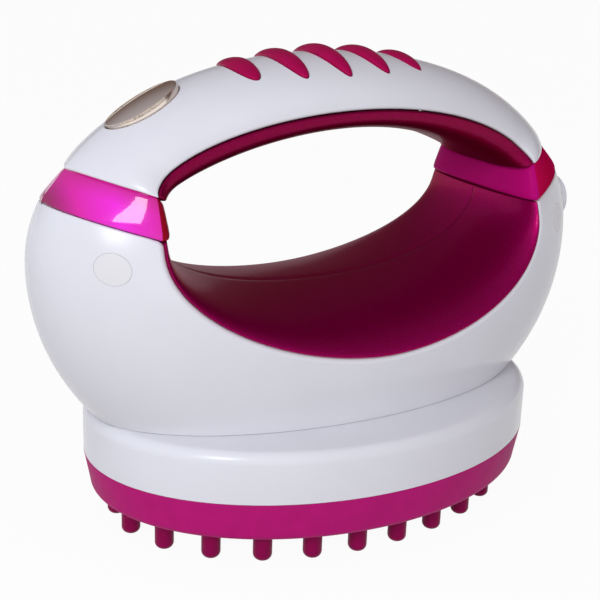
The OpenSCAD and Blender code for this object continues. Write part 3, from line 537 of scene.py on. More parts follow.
def compute(tree, operation, *terms, **values):
    """Output of a math node whose terms are sockets or numbers."""
    n = node(tree, "ShaderNodeMath", operation=operation, **values)
    for slot, term in zip(n.inputs, terms):
        if isinstance(term, bpy.types.NodeSocket):
            tree.links.new(term, slot)
        else:
            slot.default_value = term
    return n.outputs[0]


def simple(name, base, other, scale, rough, strength=0.1, distance=0.0002, level=0.5, metallic=0.0):
    """Material with slight mottling of its colour, its gloss and its surface."""
    m, t, b = material(name, Metallic=metallic)
    b.inputs["Specular IOR Level"].default_value = level
    tone = ramp(t, noise(t, scale, 3.0), [(0.35, base), (0.65, other)])
    t.links.new(tone, b.inputs["Base Color"])
    vary_gloss(t, b, noise(t, scale * 2.3, 3.0), *rough)
    bump(t, b, noise(t, scale * 3, 3.0), strength, distance)
    return m


WHITE = simple("white_plastic", (0.80, 0.795, 0.825), (0.785, 0.78, 0.81), 60, (0.2, 0.26),
               0.01, level=0.4)
LID = simple("lid_white", (0.80, 0.785, 0.785), (0.785, 0.77, 0.77), 60, (0.3, 0.36),
             0.01, level=0.4)
LACQUER = {"Metallic": 0.8, "Roughness": 0.42, "Coat Weight": 0.1, "Coat Roughness": 0.15,
           "Specular IOR Level": 0.15, "Specular Tint": (0.42, 0.015, 0.13, 1)}


def liner_material(name, stops):
    """Metallic lacquer with fine flakes."""
    m, t, b = material(name, **LACQUER)
    flakes = node(t, "ShaderNodeTexVoronoi", Scale=5200.0)
    t.links.new(coords(t), flakes.inputs["Vector"])
    t.links.new(ramp(t, flakes.outputs["Color"], stops), b.inputs["Base Color"])
    bump(t, b, flakes.outputs["Distance"], 0.12, 0.0002)
    return m


LINER = liner_material(
    "dark_magenta_plastic",
    [(0.0, (0.32, 0.0002, 0.076)), (0.75, (0.35, 0.0003, 0.09)), (1.0, (0.54, 0.004, 0.22))])
# The lip is the liner's lacquer made darker and less blue: painted shade on the handle's underside.
LIP_SHADED = liner_material(
    "dark_magenta_lip_shaded",
    [(0.0, (0.215, 0.0001, 0.037)), (0.75, (0.235, 0.0001, 0.044)), (1.0, (0.40, 0.002, 0.12))])


def spread(tree, value, low, high):
    """Share from 0 to 1 between two values."""
    r = node(tree, "ShaderNodeMapRange")
    r.inputs["From Min"].default_value, r.inputs["From Max"].default_value = low, high
    tree.links.new(value, r.inputs["Value"])
    return r.outputs["Result"]


# In metres: the bands' lengths between which the colour runs, and the heights between which painted
# shade under the handle darkens and reddens it, measured from a line that climbs with the bands
BAND_SPAN, BAND_SLOPE = (0.053, 0.078), 0.27
BAND_SHADE_LOW = (BAND_Z + 5.5 - BAND_SLOPE * A_RIM) * MM
BAND_SHADE_HIGH = (BAND_TOP_Z + 1.5 - BAND_SLOPE * A_RIM) * MM


def band_material(name, stops, shade_color, glow, rough, coat, level):
    """Tinted plastic with painted light: a glow that brightens it past what the lamps give, its
    colour running along the band, and painted shade under the handle that darkens and reddens it
    near the top.
    """
    m, t, b = material(name, **{"Roughness": rough, "IOR": 1.38, "Specular IOR Level": level,
                                "Coat Weight": coat, "Coat Roughness": 0.02, "Coat IOR": 1.4,
                                "Emission Strength": glow})
    sep = node(t, "ShaderNodeSeparateXYZ")
    t.links.new(coords(t), sep.inputs["Vector"])
    x = compute(t, "ABSOLUTE", sep.outputs["X"])
    along = spread(t, x, *BAND_SPAN)
    cloud = noise(t, 90, 2.0)
    tone = compute(t, "MULTIPLY_ADD", cloud, 0.06, along)
    rise = compute(t, "MULTIPLY_ADD", x, -BAND_SLOPE, sep.outputs["Z"])
    # painted shade under the handle: towards the band's top the colour turns a darker red
    mixer = node(t, "ShaderNodeMix", data_type="RGBA")
    t.links.new(spread(t, rise, BAND_SHADE_LOW, BAND_SHADE_HIGH), mixer.inputs["Factor"])
    t.links.new(ramp(t, tone, stops), mixer.inputs[6])
    mixer.inputs[7].default_value = (*shade_color, 1)
    t.links.new(mixer.outputs[2], b.inputs["Base Color"])
    t.links.new(mixer.outputs[2], b.inputs["Emission Color"])
    bump(t, b, cloud, 0.05, 0.0002)
    return m


# The left band's outer face is painted lit: brighter, with a stronger glow. The right band's is the
# same plastic in painted shade, a darker crimson. Their inner faces are painted the other way
# round: in shade on the left band and lit on the right.
BAND_LEFT_LIT = band_material(
    "translucent_magenta",
    [(0.0, (0.50, 0.006, 0.10)), (0.2, (0.66, 0.008, 0.36)), (0.5, (0.80, 0.012, 0.62)),
     (0.8, (0.62, 0.008, 0.32)), (1.0, (0.24, 0.006, 0.07))],
    (0.48, 0.010, 0.16), 0.2, 0.15, 0.85, 0.2)
BAND_RIGHT_SHADED = band_material(
    "translucent_magenta_right_shaded",
    [(0.0, (0.55, 0.004, 0.10)), (0.25, (0.50, 0.003, 0.06)), (0.6, (0.42, 0.002, 0.045)),
     (1.0, (0.50, 0.006, 0.12))],
    (0.46, 0.002, 0.07), 0.12, 0.25, 0.0, 0.0)
INNER_LEFT_SHADED = band_material(
    "translucent_magenta_inner_left_shaded",
    [(0.0, (0.26, 0.002, 0.012)), (1.0, (0.34, 0.004, 0.018))],
    (0.24, 0.002, 0.03), 0.1, 0.3, 0.0, 0.1)
INNER_RIGHT_LIT = band_material(
    "translucent_magenta_inner_right_lit",
    [(0.0, (0.42, 0.003, 0.14)), (1.0, (0.60, 0.006, 0.28))],
    (0.42, 0.003, 0.13), 0.12, 0.35, 0.0, 0.02)
RIDGE = simple("magenta_ridge", (0.40, 0.0008, 0.072), (0.36, 0.0006, 0.062), 300, (0.3, 0.4),
               0.04, 0.0001, level=0.08)
RUBBER = simple("magenta_rubber", (0.49, 0.004, 0.165), (0.45, 0.0035, 0.15), 220, (0.5, 0.62),
                0.12, level=0.2)
# The nubs are the pad's rubber made darker: painted shade under the pad.
NUBS_SHADED = simple("magenta_nubs_shaded", (0.28, 0.0012, 0.072), (0.24, 0.001, 0.062), 220, (0.35, 0.45),
              level=0.1)


def chrome_material():
    m, t, b = material("chrome", Metallic=1.0)
    # The metal's warm tone and the lengthwise streaks in it are in part a painted reflection of a
    # brownish surround mirrored in the button's face; the streaks also vary its gloss.
    streak = noise(t, 30, 3.0, coords(t, (1.0, 9.0, 2.0)))
    tone = ramp(t, streak, [(0.3, (0.80, 0.70, 0.62)), (0.7, (0.88, 0.78, 0.70))])
    t.links.new(tone, b.inputs["Base Color"])
    vary_gloss(t, b, streak, 0.05, 0.13)
    return m


CHROME = chrome_material()
FRAME = simple("frame_plastic", (0.30, 0.30, 0.31), (0.26, 0.26, 0.27), 200, (0.5, 0.6))
STEEL = simple("steel", (0.62, 0.62, 0.64), (0.52, 0.52, 0.54), 500, (0.25, 0.4),
               0.05, 0.0001, metallic=1.0)
BRASS = simple("brass_weight", (0.70, 0.50, 0.22), (0.62, 0.44, 0.18), 400, (0.25, 0.38),
               0.05, 0.0001, metallic=1.0)
BOARD = simple("circuit_board", (0.03, 0.17, 0.08), (0.02, 0.13, 0.06), 350, (0.3, 0.45))
BLACK = simple("black_plastic", (0.02, 0.02, 0.022), (0.03, 0.03, 0.032), 300, (0.35, 0.5))
LED = simple("clear_led", (0.85, 0.82, 0.9), (0.8, 0.78, 0.86), 200, (0.05, 0.1), 0.02, 0.0001)
LED.node_tree.nodes["Principled BSDF"].inputs["Transmission Weight"].default_value = 0.6
SLOTS = {
    "white_plastic": WHITE,
    "dark_magenta_plastic": LINER,
    "translucent_magenta": BAND_LEFT_LIT,
    "magenta_ridge": RIDGE,
    "magenta_rubber": RUBBER,
    "chrome": CHROME,
    "frame_plastic": FRAME,
    "steel": STEEL,
    "brass_weight": BRASS,
    "circuit_board": BOARD,
    "black_plastic": BLACK,
    "clear_led": LED,
}


def wear(o, m):
    o.data.materials.clear()
    o.data.materials.append(m)
    return o


for entry in frame["record"]["subparts"]:
    wear(nodes[entry["node"]], SLOTS[entry["material_slot"]])


# Body shells
RIM_R, BAND_EDGE_R, SEAM_R, FOOT_R, COVER_R, INLET_R = 1.4, 0.6, 0.15, 0.2, 0.07, 0.4
CORNER_R, RIM_FADE, COVER_T = 1.5, 3.0, 1.8
COVER_Z = FOOT_Z + COVER_RISE
INLET_Z = FOOT_Z + INLET_RISE


def skin_uv(x, z):
    return np.stack([np.radians(skin_angle(x, z)) * SKIN_R, z + 0 * x], -1)


def cover_outline(way, r):
    """Circle of radius r round a screw cover, on the skin at the left or right end."""
    a = around(48)
    return skin_uv(way * COVER_X + r * cos(a), COVER_Z + r * sin(a))


def round_corner(poly, i, r, steps=6):
    """Corner i of an open polyline replaced by an arc of about radius r."""
    a, b, c = poly[i - 1], poly[i], poly[i + 1]
    d1, d2 = unit(a - b), unit(c - b)
    half = math.acos(np.clip(d1.dot(d2), -1, 1)) / 2
    t = r / math.tan(half)
    p, q = b + d1 * t, b + d2 * t
    centre = b + unit(d1 + d2) * r / math.sin(half)
    a0 = math.atan2(*(p - centre)[::-1])
    a1 = math.atan2(*(q - centre)[::-1])
    da = (a1 - a0 + math.pi) % (2 * math.pi) - math.pi
    turns = [a0 + da * k / steps for k in range(steps + 1)]
    bend = [centre + r * np.array([math.cos(t), math.sin(t)]) for t in turns]
    return np.vstack([poly[:i], bend, poly[i + 1:]])


def seam_u(z):
    """Parameter of the skin where it meets the seam between the shells."""
    return np.arcsin(np.clip(SEAM / half_width(z), 0, 1)) * SKIN_R


def front_shell(name, covers):
    # right half of the upper edge, from the middle of the rim to the end of the body, in x and z
    k = np.linspace(0, LOW_K, 90)
    rx, rz = low_rim(k)
    side = np.stack([rx, rz], -1)
    side = np.vstack([side, [[A_RIM, BAND_Z - GAP]]])
    xs = A_RIM + (LOW_END_X - A_RIM) * (1 - (1 - np.linspace(0, 1, 40)) ** 2)[1:]
    end = np.stack([xs, band_low_z(xs) - LINE], -1)
    corner = len(side) - 1
    half = np.vstack([side, end])
    half = round_corner(half, corner, CORNER_R)
    right_uv = skin_uv(half[:, 0], half[:, 1])
    top_z = right_uv[-1, 1]
    right_uv[-1] = [seam_u(top_z), top_z]
    left_uv = right_uv * [-1, 1] + [math.pi * SKIN_R, 0]
    x, z = half.T
    rr = mix(RIM_R, BAND_EDGE_R, np.clip((x - A_RIM) / RIM_FADE, 0, 1))
    rr = np.where((z < BAND_Z - GAP - CORNER_R) & (x <= A_RIM + 0.01), RIM_R, rr)
    # right end: down the seam, round the inlet, to the foot
    hole_r = INLET_D / 2 + GAP
    t = np.linspace(90, -90, 33)
    hz = INLET_Z + hole_r * sin(t)
    hy = np.maximum(hole_r * cos(t), SEAM)
    notch = np.stack([np.arcsin(np.clip(hy / half_width(hz), 0, 1)) * SKIN_R, hz], -1)
    zs = np.linspace(top_z, INLET_Z + hole_r, 6)[1:-1]
    seam1 = np.stack([seam_u(zs), zs], -1)
    zs = np.linspace(INLET_Z - hole_r, FOOT_Z, 36)[1:]
    seam2 = np.stack([seam_u(zs), zs], -1)
    foot_u = np.linspace(seam_u(FOOT_Z), math.pi * SKIN_R - seam_u(FOOT_Z), 150)[1:-1]
    foot = np.stack([foot_u, np.full(len(foot_u), FOOT_Z)], -1)
    zs = np.linspace(FOOT_Z, top_z, 48)[:-1]
    seam3 = np.stack([math.pi * SKIN_R - seam_u(zs), zs], -1)
    outline = np.vstack([right_uv[1:], seam1, notch, seam2, foot, seam3, left_uv[::-1]])
    parts = [(seam1, SEAM_R), (notch, INLET_R), (seam2, SEAM_R), (foot, FOOT_R), (seam3, SEAM_R)]
    radii = np.concatenate([rr[1:]] + [np.full(len(part), r) for part, r in parts] + [rr[::-1]])
    # points that lie on each other are dropped
    p = np.vstack([outline, outline[:1]])
    d = np.r_[0, np.cumsum(np.linalg.norm(np.diff(p, axis=0), axis=1))]
    keep = np.r_[True, np.diff(d)[:-1] > 0.05]
    outline, radii = outline[keep], radii[keep]
    # radii fade into each other
    for _ in range(3):
        radii = np.minimum(radii, (np.roll(radii, 1) + radii + np.roll(radii, -1)) / 3 + 0.05)
    loops, rad = [outline], [radii]
    if covers:
        loops += [cover_outline(way, COVER_D / 2 + LINE) for way in (-1, 1)]
        rad += [COVER_R, COVER_R]
    return patch(name, skin, loops, rad, WALL, 1.3, turn=-1.0)


front = wear(front_shell("front_shell_piece", True), WHITE)
place(front, "casing", "white_plastic", "front_body_shell")
rear_src = front_shell("rear_shell_source", False)
rear = wear(mirrored(rear_src, "rear_shell_piece", 1), WHITE)
bpy.data.objects.remove(rear_src)
place(rear, "casing", "white_plastic", "rear_body_shell")


# Screw covers: shallow lids in their wells
def cover(name, way):
    outline = cover_outline(way, COVER_D / 2 + LINE - LID_GAP)
    return wear(patch(name, skin, [outline], [COVER_R], COVER_T, 0.7, turn=-1.0), LID)


place(cover("cover_left", -1), "casing", "white_plastic", "screw_covers")
place(cover("cover_right", 1), "casing", "white_plastic")


# Palm liners
def low_edge(k):
    last = LOW_K + 1
    x1, z1 = low_rim(np.minimum(k + 1, last))
    x0, z0 = low_rim(np.maximum(k - 1, -last))
    t = unit(np.stack([x1 - x0, z1 - z0], -1))
    x, z = low_rim(k)
    return x - GAP * t[..., 1], z + GAP * t[..., 0]


K_SCALE, U_SCALE, PALM_EDGE_R, LIP_EDGE_R, WALL_SHARP = 5.6, 0.42, 0.22, 0.5, 50


def palm(u, v):
    k = np.clip(u / K_SCALE, -LOW_K - 1, LOW_K + 1)
    s = sin(np.clip(v / U_SCALE, 0, 90))
    ex, ez = low_edge(k)
    ey = -half_width(ez) * np.sqrt(np.clip(1 - (ex / half_length(ez)) ** 2, 0, 1))
    tx, tz = low_throat(k)
    f = roll(s, TROUGH_ROLL)
    return points(mix(tx, ex, f), mix(-SEAM, ey, s), mix(tz, ez, f))


def palm_grid():
    uk = (LOW_K + 1) * K_SCALE
    rows = 240
    ks = np.linspace(-1, 1, rows)
    ks = np.sign(ks) * (1 - (1 - np.abs(ks)) ** 1.3)
    # rows run across the trough, from the seam to the rim
    vs = np.linspace(0, 1, 48)
    vs = 90 * (1 - (1 - vs) ** 1.25)
    u = np.broadcast_to((ks * uk)[:, None], (rows, len(vs)))
    v = np.broadcast_to((vs * U_SCALE)[None], (rows, len(vs)))
    return palm(u, v)


def closed_wall(name, top, bottom, sharp):
    """Closed piece between two grids of points, its top and its bottom."""
    rows, cols = top.shape[:2]
    faces = []

    def at(side, i, j):
        return (side * rows + i) * cols + j

    for i in range(rows - 1):
        for j in range(cols - 1):
            faces.append((at(0, i, j + 1), at(0, i + 1, j + 1), at(0, i + 1, j), at(0, i, j)))
            faces.append((at(1, i + 1, j), at(1, i + 1, j + 1), at(1, i, j + 1), at(1, i, j)))
    last = cols - 1
    for i in range(rows - 1):
        faces.append((at(0, i + 1, 0), at(1, i + 1, 0), at(1, i, 0), at(0, i, 0)))
        faces.append((at(1, i, last), at(1, i + 1, last), at(0, i + 1, last), at(0, i, last)))
    last = rows - 1
    for j in range(cols - 1):
        faces.append((at(1, 0, j), at(1, 0, j + 1), at(0, 0, j + 1), at(0, 0, j)))
        faces.append((at(0, last, j + 1), at(1, last, j + 1), at(1, last, j), at(0, last, j)))
    verts = np.vstack([top.reshape(-1, 3), bottom.reshape(-1, 3)])
    return finish_mesh(name, verts, faces, sharp=sharp)


def solid_grid(name, face, thick, edge_r):
    """Wall behind a grid of points, its edges eased by a small round."""
    n = -unit(np.cross(np.gradient(face, axis=0), np.gradient(face, axis=1)))

    def from_edge(axis):
        """Distance along the grid to the nearer end of its row or column."""
        d = np.linalg.norm(np.diff(face, axis=axis), axis=2)
        first = np.cumsum(np.insert(d, 0, 0, axis=axis), axis=axis)
        back = np.cumsum(np.insert(np.flip(d, axis), 0, 0, axis=axis), axis=axis)
        return np.minimum(first, np.flip(back, axis))

    short = np.clip(edge_r - np.minimum(from_edge(0), from_edge(1)), 0, edge_r)
    sink = edge_r - np.sqrt(edge_r ** 2 - short ** 2)
    return closed_wall(name, face - n * sink[..., None], face - n * thick, WALL_SHARP)


palm_front = wear(solid_grid("palm_front", palm_grid(), LINER_T, PALM_EDGE_R), LINER)
place(palm_front, "casing", "dark_magenta_plastic", "front_palm_liner")
palm_rear = wear(mirrored(palm_front, "palm_rear", 1), LINER)
place(palm_rear, "casing", "dark_magenta_plastic", "rear_palm_liner")


# Handle: the shell with its pockets, the grip ridges and the button
RIDGE_ORDER = range(-(RIDGES // 2), RIDGES // 2 + 1)
RIDGE_GAP, RIDGE_HOLE_R, BUTTON_HOLE_R = 0.25, 0.2, 0.5


def ridge_x(i):
    return i * RIDGE_PITCH - RIDGE_SHIFT


def leaf(i, v, t, clearance=0.0):
    half = (RIDGE_W / 2 + clearance) * np.clip(1 - v * v, 0, 1) ** RIDGE_TIP
    x = ridge_x(i) + RIDGE_SKEW * v + RIDGE_BOW * v * v + half * t
    y = ((RIDGE_L - 2 * RIDGE_SHRINK * i * i) / 2 + clearance) * v
    return x, y


def leaf_outline(i, clearance, n=44):
    v = np.sin(np.radians(np.linspace(-88, 88, n)))
    x1, y1 = leaf(i, v, 1.0, clearance)
    x2, y2 = leaf(i, v[::-1], -1.0, clearance)
    x, y = np.r_[x1, x2], np.r_[y1, y2]
    u, w = handle_uv(x, y)
    return np.stack([u, w], -1)


TILT = math.atan(crest_height(BUTTON_X - 0.5) - crest_height(BUTTON_X + 0.5))
TILT += math.radians(BUTTON_LEAN)
BUTTON_AT = np.array([-BUTTON_X, -BUTTON_Y, crest_height(BUTTON_X)])
BUTTON_XA = np.array([math.cos(TILT), 0, math.sin(TILT)])
BUTTON_ZA = np.array([-math.sin(TILT), 0, math.cos(TILT)])


def button_point(x, y, z):
    x, y, z = np.broadcast_arrays(np.asarray(x, float), y, z)
    across = y[..., None] * np.array([0, 1.0, 0])
    return BUTTON_AT + x[..., None] * BUTTON_XA + across + z[..., None] * BUTTON_ZA


def button_outline(clearance, n=72):
    """Where the button's upright oval passes through the handle's surface."""
    a = around(n)
    lx, ly = (BUTTON_L / 2 + clearance) * cos(a), (BUTTON_W / 2 + clearance) * sin(a)
    lz = np.zeros(n)
    u = v = None
    for _ in range(25):
        p = button_point(lx, ly, lz)
        u, v = handle_uv(p[:, 0], p[:, 1])
        q = handle(u, v)
        lz = lz + 0.8 * ((q - p) @ BUTTON_ZA)
    return np.stack([u, v], -1)


def handle_piece():
    n = 170
    u = np.linspace(-HANDLE_ARC, HANDLE_ARC, n)
    v = np.linspace(-HANDLE_SPAN, HANDLE_SPAN, 90)[1:-1]
    m = len(v)
    sides = [(u, np.full(n, -HANDLE_SPAN)), (np.full(m, HANDLE_ARC), v),
             (u[::-1], np.full(n, HANDLE_SPAN)), (np.full(m, -HANDLE_ARC), v[::-1])]
    outline = np.vstack([np.stack(side, -1) for side in sides])
    # the edge's round fades out towards the four corners
    to_end = HANDLE_ARC - np.abs(outline[:, 0])
    to_rim = HANDLE_SPAN - np.abs(outline[:, 1])
    rad = np.interp(np.abs(to_end - to_rim), [0.0, 1.0, 5.0], [0.08, 0.15, 0.9])
    loops = [outline, button_outline(GAP)]
    radii = [rad, BUTTON_HOLE_R]
    for i in RIDGE_ORDER:
        loops.append(leaf_outline(i, RIDGE_GAP))
        radii.append(RIDGE_HOLE_R)
    return patch("handle_piece", handle_safe, loops, radii, WALL, 1.0, turn=1.0)


def handle_safe(u, v):
    """Handle surface that also has points a little beyond its own edges."""
    uc = np.clip(u, -HANDLE_ARC + 0.05, HANDLE_ARC - 0.05)
    vc = np.clip(v, -HANDLE_SPAN + 0.1, HANDLE_SPAN - 0.1)
    base = handle(uc, vc)
    e = 0.05
    du = (handle(uc + e, vc) - handle(uc - e, vc)) / (2 * e)
    dv = (handle(uc, vc + e) - handle(uc, vc - e)) / (2 * e)
    return base + du * (u - uc)[..., None] + dv * (v - vc)[..., None]


shell = wear(handle_piece(), WHITE)
place(shell, "casing", "white_plastic", "handle_shell")


RIDGE_SHARP = 60


def ridge_piece(i):
    top = RIDGE_H - RIDGE_FADE * abs(i)
    v = np.sin(np.radians(np.linspace(-90, 90, 61))) * 0.9985
    t = np.sin(np.radians(np.linspace(-90, 90, 25)))
    V, T = np.meshgrid(v, t, indexing="ij")
    x, y = leaf(i, V, T)
    u, w = handle_uv(x, y)
    P = handle_safe(u, w)
    su, sv = tangents(handle_safe, u.ravel(), w.ravel())
    n = unit(np.cross(su, sv)).reshape(P.shape)
    dome = top * np.clip((1 - V * V), 0, 1) ** 0.5 * np.clip(1 - T ** 2, 0, 1) ** 0.5
    up_side = P + n * dome[..., None]
    base = P - n * RIDGE_SEAT
    return closed_wall("ridge_%d" % (i + RIDGES // 2 + 1), up_side, base, RIDGE_SHARP)


for i in RIDGE_ORDER:
    stand_for = ["grip_ridges"] if i == 0 else []
    place(wear(ridge_piece(i), RIDGE), "casing", "magenta_ridge", *stand_for)


def crown(x, y):
    """Height of the button's face, round along the handle and more so across it."""
    across = BUTTON_ARCH - BUTTON_CROWN + np.sqrt(BUTTON_CROWN ** 2 - y ** 2)
    return BUTTON_PROUD - BUTTON_ARCH + np.sqrt(across ** 2 - x ** 2)


BUTTON_EDGE_R = 0.35


def button_piece():
    a = around(144)
    rows = []
    # from the flange below, up the side wall and over the rounded rim to the crowned face
    flange = [(FLANGE_LIP, FLANGE_Z - FLANGE_T), (FLANGE_LIP, FLANGE_Z)]
    for off, z in flange + [(0.0, FLANGE_Z), (0.0, -1.5), (0.0, 0.0)]:
        rows.append(button_point((BUTTON_L / 2 + off) * cos(a), (BUTTON_W / 2 + off) * sin(a), z))
    edge = BUTTON_EDGE_R
    for f in np.linspace(0, 90, 8):
        off = -edge * (1 - math.cos(math.radians(f)))
        x, y = (BUTTON_L / 2 + off) * cos(a), (BUTTON_W / 2 + off) * sin(a)
        rows.append(button_point(x, y, crown(x, y) - edge * (1 - math.sin(math.radians(f)))))
    for share in np.linspace(0.96, 0.04, 24):
        x, y = (BUTTON_L / 2 - edge) * share * cos(a), (BUTTON_W / 2 - edge) * share * sin(a)
        rows.append(button_point(x, y, crown(x, y)))
    return loft("button_piece", rows, close_cols=True, caps=True, sharp=50)


button = wear(button_piece(), CHROME)
place(button, "button", "chrome", "power_button")


# Handle's liner: a rolled lip down to the throat
def lip(a, u):
    rx, rz = high_rim(a)
    rx, rz = rx - GAP * sin(a), rz - GAP * cos(a)
    s = sin(u)
    tx, tz = high_throat(a)
    f = roll(s, LIP_ROLL)
    return points(mix(tx, rx, f), handle_half(a) * s, mix(tz, rz, f))


def lip_grid():
    a = np.linspace(-90, 90, 260)
    t = np.linspace(-1, 1, 121)
    u = 90 * np.sign(t) * (1 - (1 - np.abs(t)) ** 1.7)
    A, U = np.meshgrid(a, u, indexing="ij")
    return lip(A, U)


lip_piece = wear(solid_grid("lip_piece", lip_grid(), LINER_T, LIP_EDGE_R), LIP_SHADED)
place(lip_piece, "casing", "dark_magenta_plastic", "handle_liner")


# Light bands
BAND_SHARES = [0, 0.03, 0.08, 0.15, 0.3, 0.5, 0.7, 0.85, 0.92, 0.97, 1]
BAND_DRAW = [0.6, 0.2, 0.0, -0.1, -0.05, 0.12, 0.3, 0.46, 0.56, 0.72, 0.95]


def band_low_at(s, depth):
    x = mix(A_RIM, LOW_END_X - depth, np.abs(cos(s)) ** (2 / ROOT_POWER))
    z = band_low_z(x)
    y = (half_width(z) - depth) * np.sqrt(np.clip(1 - (x / (half_length(z) - depth)) ** 2, 0, 1))
    return points(x, np.sign(s) * y, z)


def handle_section(s, depth):
    a = 90.0
    rim = np.array(high_rim(a))
    crest = np.array([float(v) for v in high_crest(np.array(a))])
    out = unit(crest - rim)
    p = 2 / section_power(a)
    top = crest - depth * out
    m = (np.abs(cos(s)) ** p)[..., None]
    xz = rim + (top - rim) * m
    return points(xz[..., 0], (handle_half(a) - depth) * spow(sin(s), p), xz[..., 1])


def band_outer(s, share, depth):
    return mix(band_low_at(s, depth), handle_section(s, depth) - np.array([0, 0, GAP]), share)


def band_inner(u, share, depth):
    half = abs(band_outer(np.array([90.0]), share, depth)[0, 1])
    f = roll(sin(u), BAND_ROLL)
    return points(mix(A_THROAT + BAND_RECESS + depth, A_RIM, f), half * sin(u),
                  mix(BAND_Z, BAND_TOP_Z - LIP_DROP * (1 - f), share))


# The tongue on top of each band closes its joint to the handle
TONGUE_IN, TONGUE_H = 1.0, 0.8


def band_piece(name):
    n = 60
    s_out = np.linspace(-90, 90, 2 * n + 1)
    s_out = 90 * np.sign(s_out) * (np.abs(s_out) / 90) ** 0.8
    s_in = np.linspace(90, -90, 2 * n + 1)[1:-1]
    back = BAND_WALL - BAND_PROUD

    def ring(share, depth, lift=0.0):
        loop = np.vstack([band_outer(s_out, share, depth), band_inner(s_in, share, depth)])
        return loop + np.array([0, 0, lift])

    steps = list(zip(BAND_SHARES, BAND_DRAW))
    shells = [ring(share, draw - BAND_PROUD) for share, draw in steps]
    shells += [ring(1, TONGUE_IN), ring(1, TONGUE_IN, TONGUE_H), ring(1, back, TONGUE_H)]
    shells += [ring(share, back + draw * 0.4) for share, draw in steps[::-1]]
    return loft(name, shells, close_rows=True, close_cols=True, sharp=60, flip=True)


def two_faced(o, outer, inner):
    """A band's outer face and the rolled one at the opening each take a material of their own,
    painted lit on the face towards the window and in painted shade on the face away from it.
    """
    wear(o, outer)
    o.data.materials.append(inner)
    for face in o.data.polygons:
        if abs(face.center.x) < (A_RIM + 0.15) * MM:
            face.material_index = 1
    return o


band_r = two_faced(band_piece("band_right"), BAND_RIGHT_SHADED, INNER_RIGHT_LIT)
place(band_r, "casing", "translucent_magenta", "right_light_band")
band_l = two_faced(mirrored(band_r, "band_left", 0), BAND_LEFT_LIT, INNER_LEFT_SHADED)
place(band_l, "casing", "translucent_magenta", "left_light_band")


# Head and pad
def oval(name, profile, turns=220, **kw):
    """Ring or plate with an oval outline, turned from a profile of half lengths and heights."""
    a = around(turns)
    ratio = HEAD_W / HEAD_L
    rows = [points(r * cos(a), r * ratio * sin(a), z) for r, z in profile]
    return loft(name, rows, close_cols=True, **kw)


def arc(cx, cz, r, a0, a1, n):
    turns = [math.radians(mix(a0, a1, j / n)) for j in range(n + 1)]
    return [(cx + r * math.cos(t), cz + r * math.sin(t)) for t in turns]


R = HEAD_L / 2
JOINT_GAP, JOINT_R = 0.03, 0.2
joint_z = HEAD_Z + JOINT_GAP
head_profile = ([(R - HEAD_WALL, joint_z)] + arc(R - JOINT_R, joint_z + JOINT_R, JOINT_R, -90, 0, 5)
                + arc(R - HEAD_ROUND, FOOT_Z - HEAD_ROUND, HEAD_ROUND, 0, 90, 12)
                + [(r, FOOT_Z) for r in np.linspace(R - HEAD_ROUND - 4, 0.02, 8)])
head_inner = [(r, FOOT_Z - HEAD_WALL) for r in np.linspace(0.02, R - HEAD_WALL, 8)]
head = wear(oval("head_piece", head_profile + head_inner, sharp=50), WHITE)
place(head, "casing", "white_plastic", "head_housing")

LOW_R = R - PAD_DRAFT
joint_z = HEAD_Z - JOINT_GAP
pad_profile = ([(R - PAD_WALL, joint_z)] + arc(R - JOINT_R, joint_z - JOINT_R, JOINT_R, 90, 0, 5)
               + arc(LOW_R - PAD_ROUND, NUB_L + PAD_ROUND, PAD_ROUND, 0, -90, 12)
               + [(r, NUB_L) for r in np.linspace(LOW_R - PAD_ROUND - 4, 0.02, 10)])
pad_inner = [(r, NUB_L + PAD_WALL) for r in np.linspace(0.02, LOW_R - PAD_WALL, 8)]
pad = wear(oval("pad_piece", pad_profile + pad_inner, sharp=50, flip=True), RUBBER)
place(pad, "casing", "magenta_rubber", "massage_pad")


def girth(a, b):
    return math.pi * (3 * (a + b) - math.sqrt((3 * a + b) * (a + 3 * b)))


def nub_places():
    out = []
    na, nb = HEAD_L / 2 - NUB_INSET, HEAD_W / 2 - NUB_INSET
    rings = int(nb // NUB_PITCH)
    for k in range(rings):
        a, b = na - k * NUB_PITCH, nb - k * NUB_PITCH
        n = 2 * round(girth(a, b) / (2 * NUB_PITCH))
        for i in range(n):
            q = 360 * (i + NUB_PHASE) / n
            t = q + (a - b) / (a + b) * 90 / math.pi * math.sin(math.radians(2 * q))
            out.append((a * math.cos(math.radians(t)), b * math.sin(math.radians(t))))
    half = na - rings * NUB_PITCH
    count = int(2 * half // NUB_PITCH) + 1
    out += [((i - (count - 1) / 2) * NUB_PITCH, 0.0) for i in range(count)]
    return out


NUB_FLAT, NUB_FLARE, NUB_SEAT = 0.3, 1.0, 0.6


def nub_profile():
    """Radii and heights of one nub: a domed tip on a stem that flares into the pad."""
    r = NUB_D / 2
    flat = NUB_FLAT * r
    dome = r - flat
    tip = [(flat * 0.5, 0.0), (flat, 0.0)]
    tip += [(flat + dome * sin(f), dome * (1 - cos(f))) for f in range(9, 91, 9)]
    stem = [(r, z) for z in (2.6, 3.6, 4.8, 6.0, 6.8)]
    root = NUB_L - NUB_FLARE
    flare = [(r + NUB_FLARE * (1 - cos(f)), root + NUB_FLARE * sin(f)) for f in range(0, 91, 15)]
    return tip + stem + flare + [(r + NUB_FLARE, NUB_L + NUB_SEAT)]


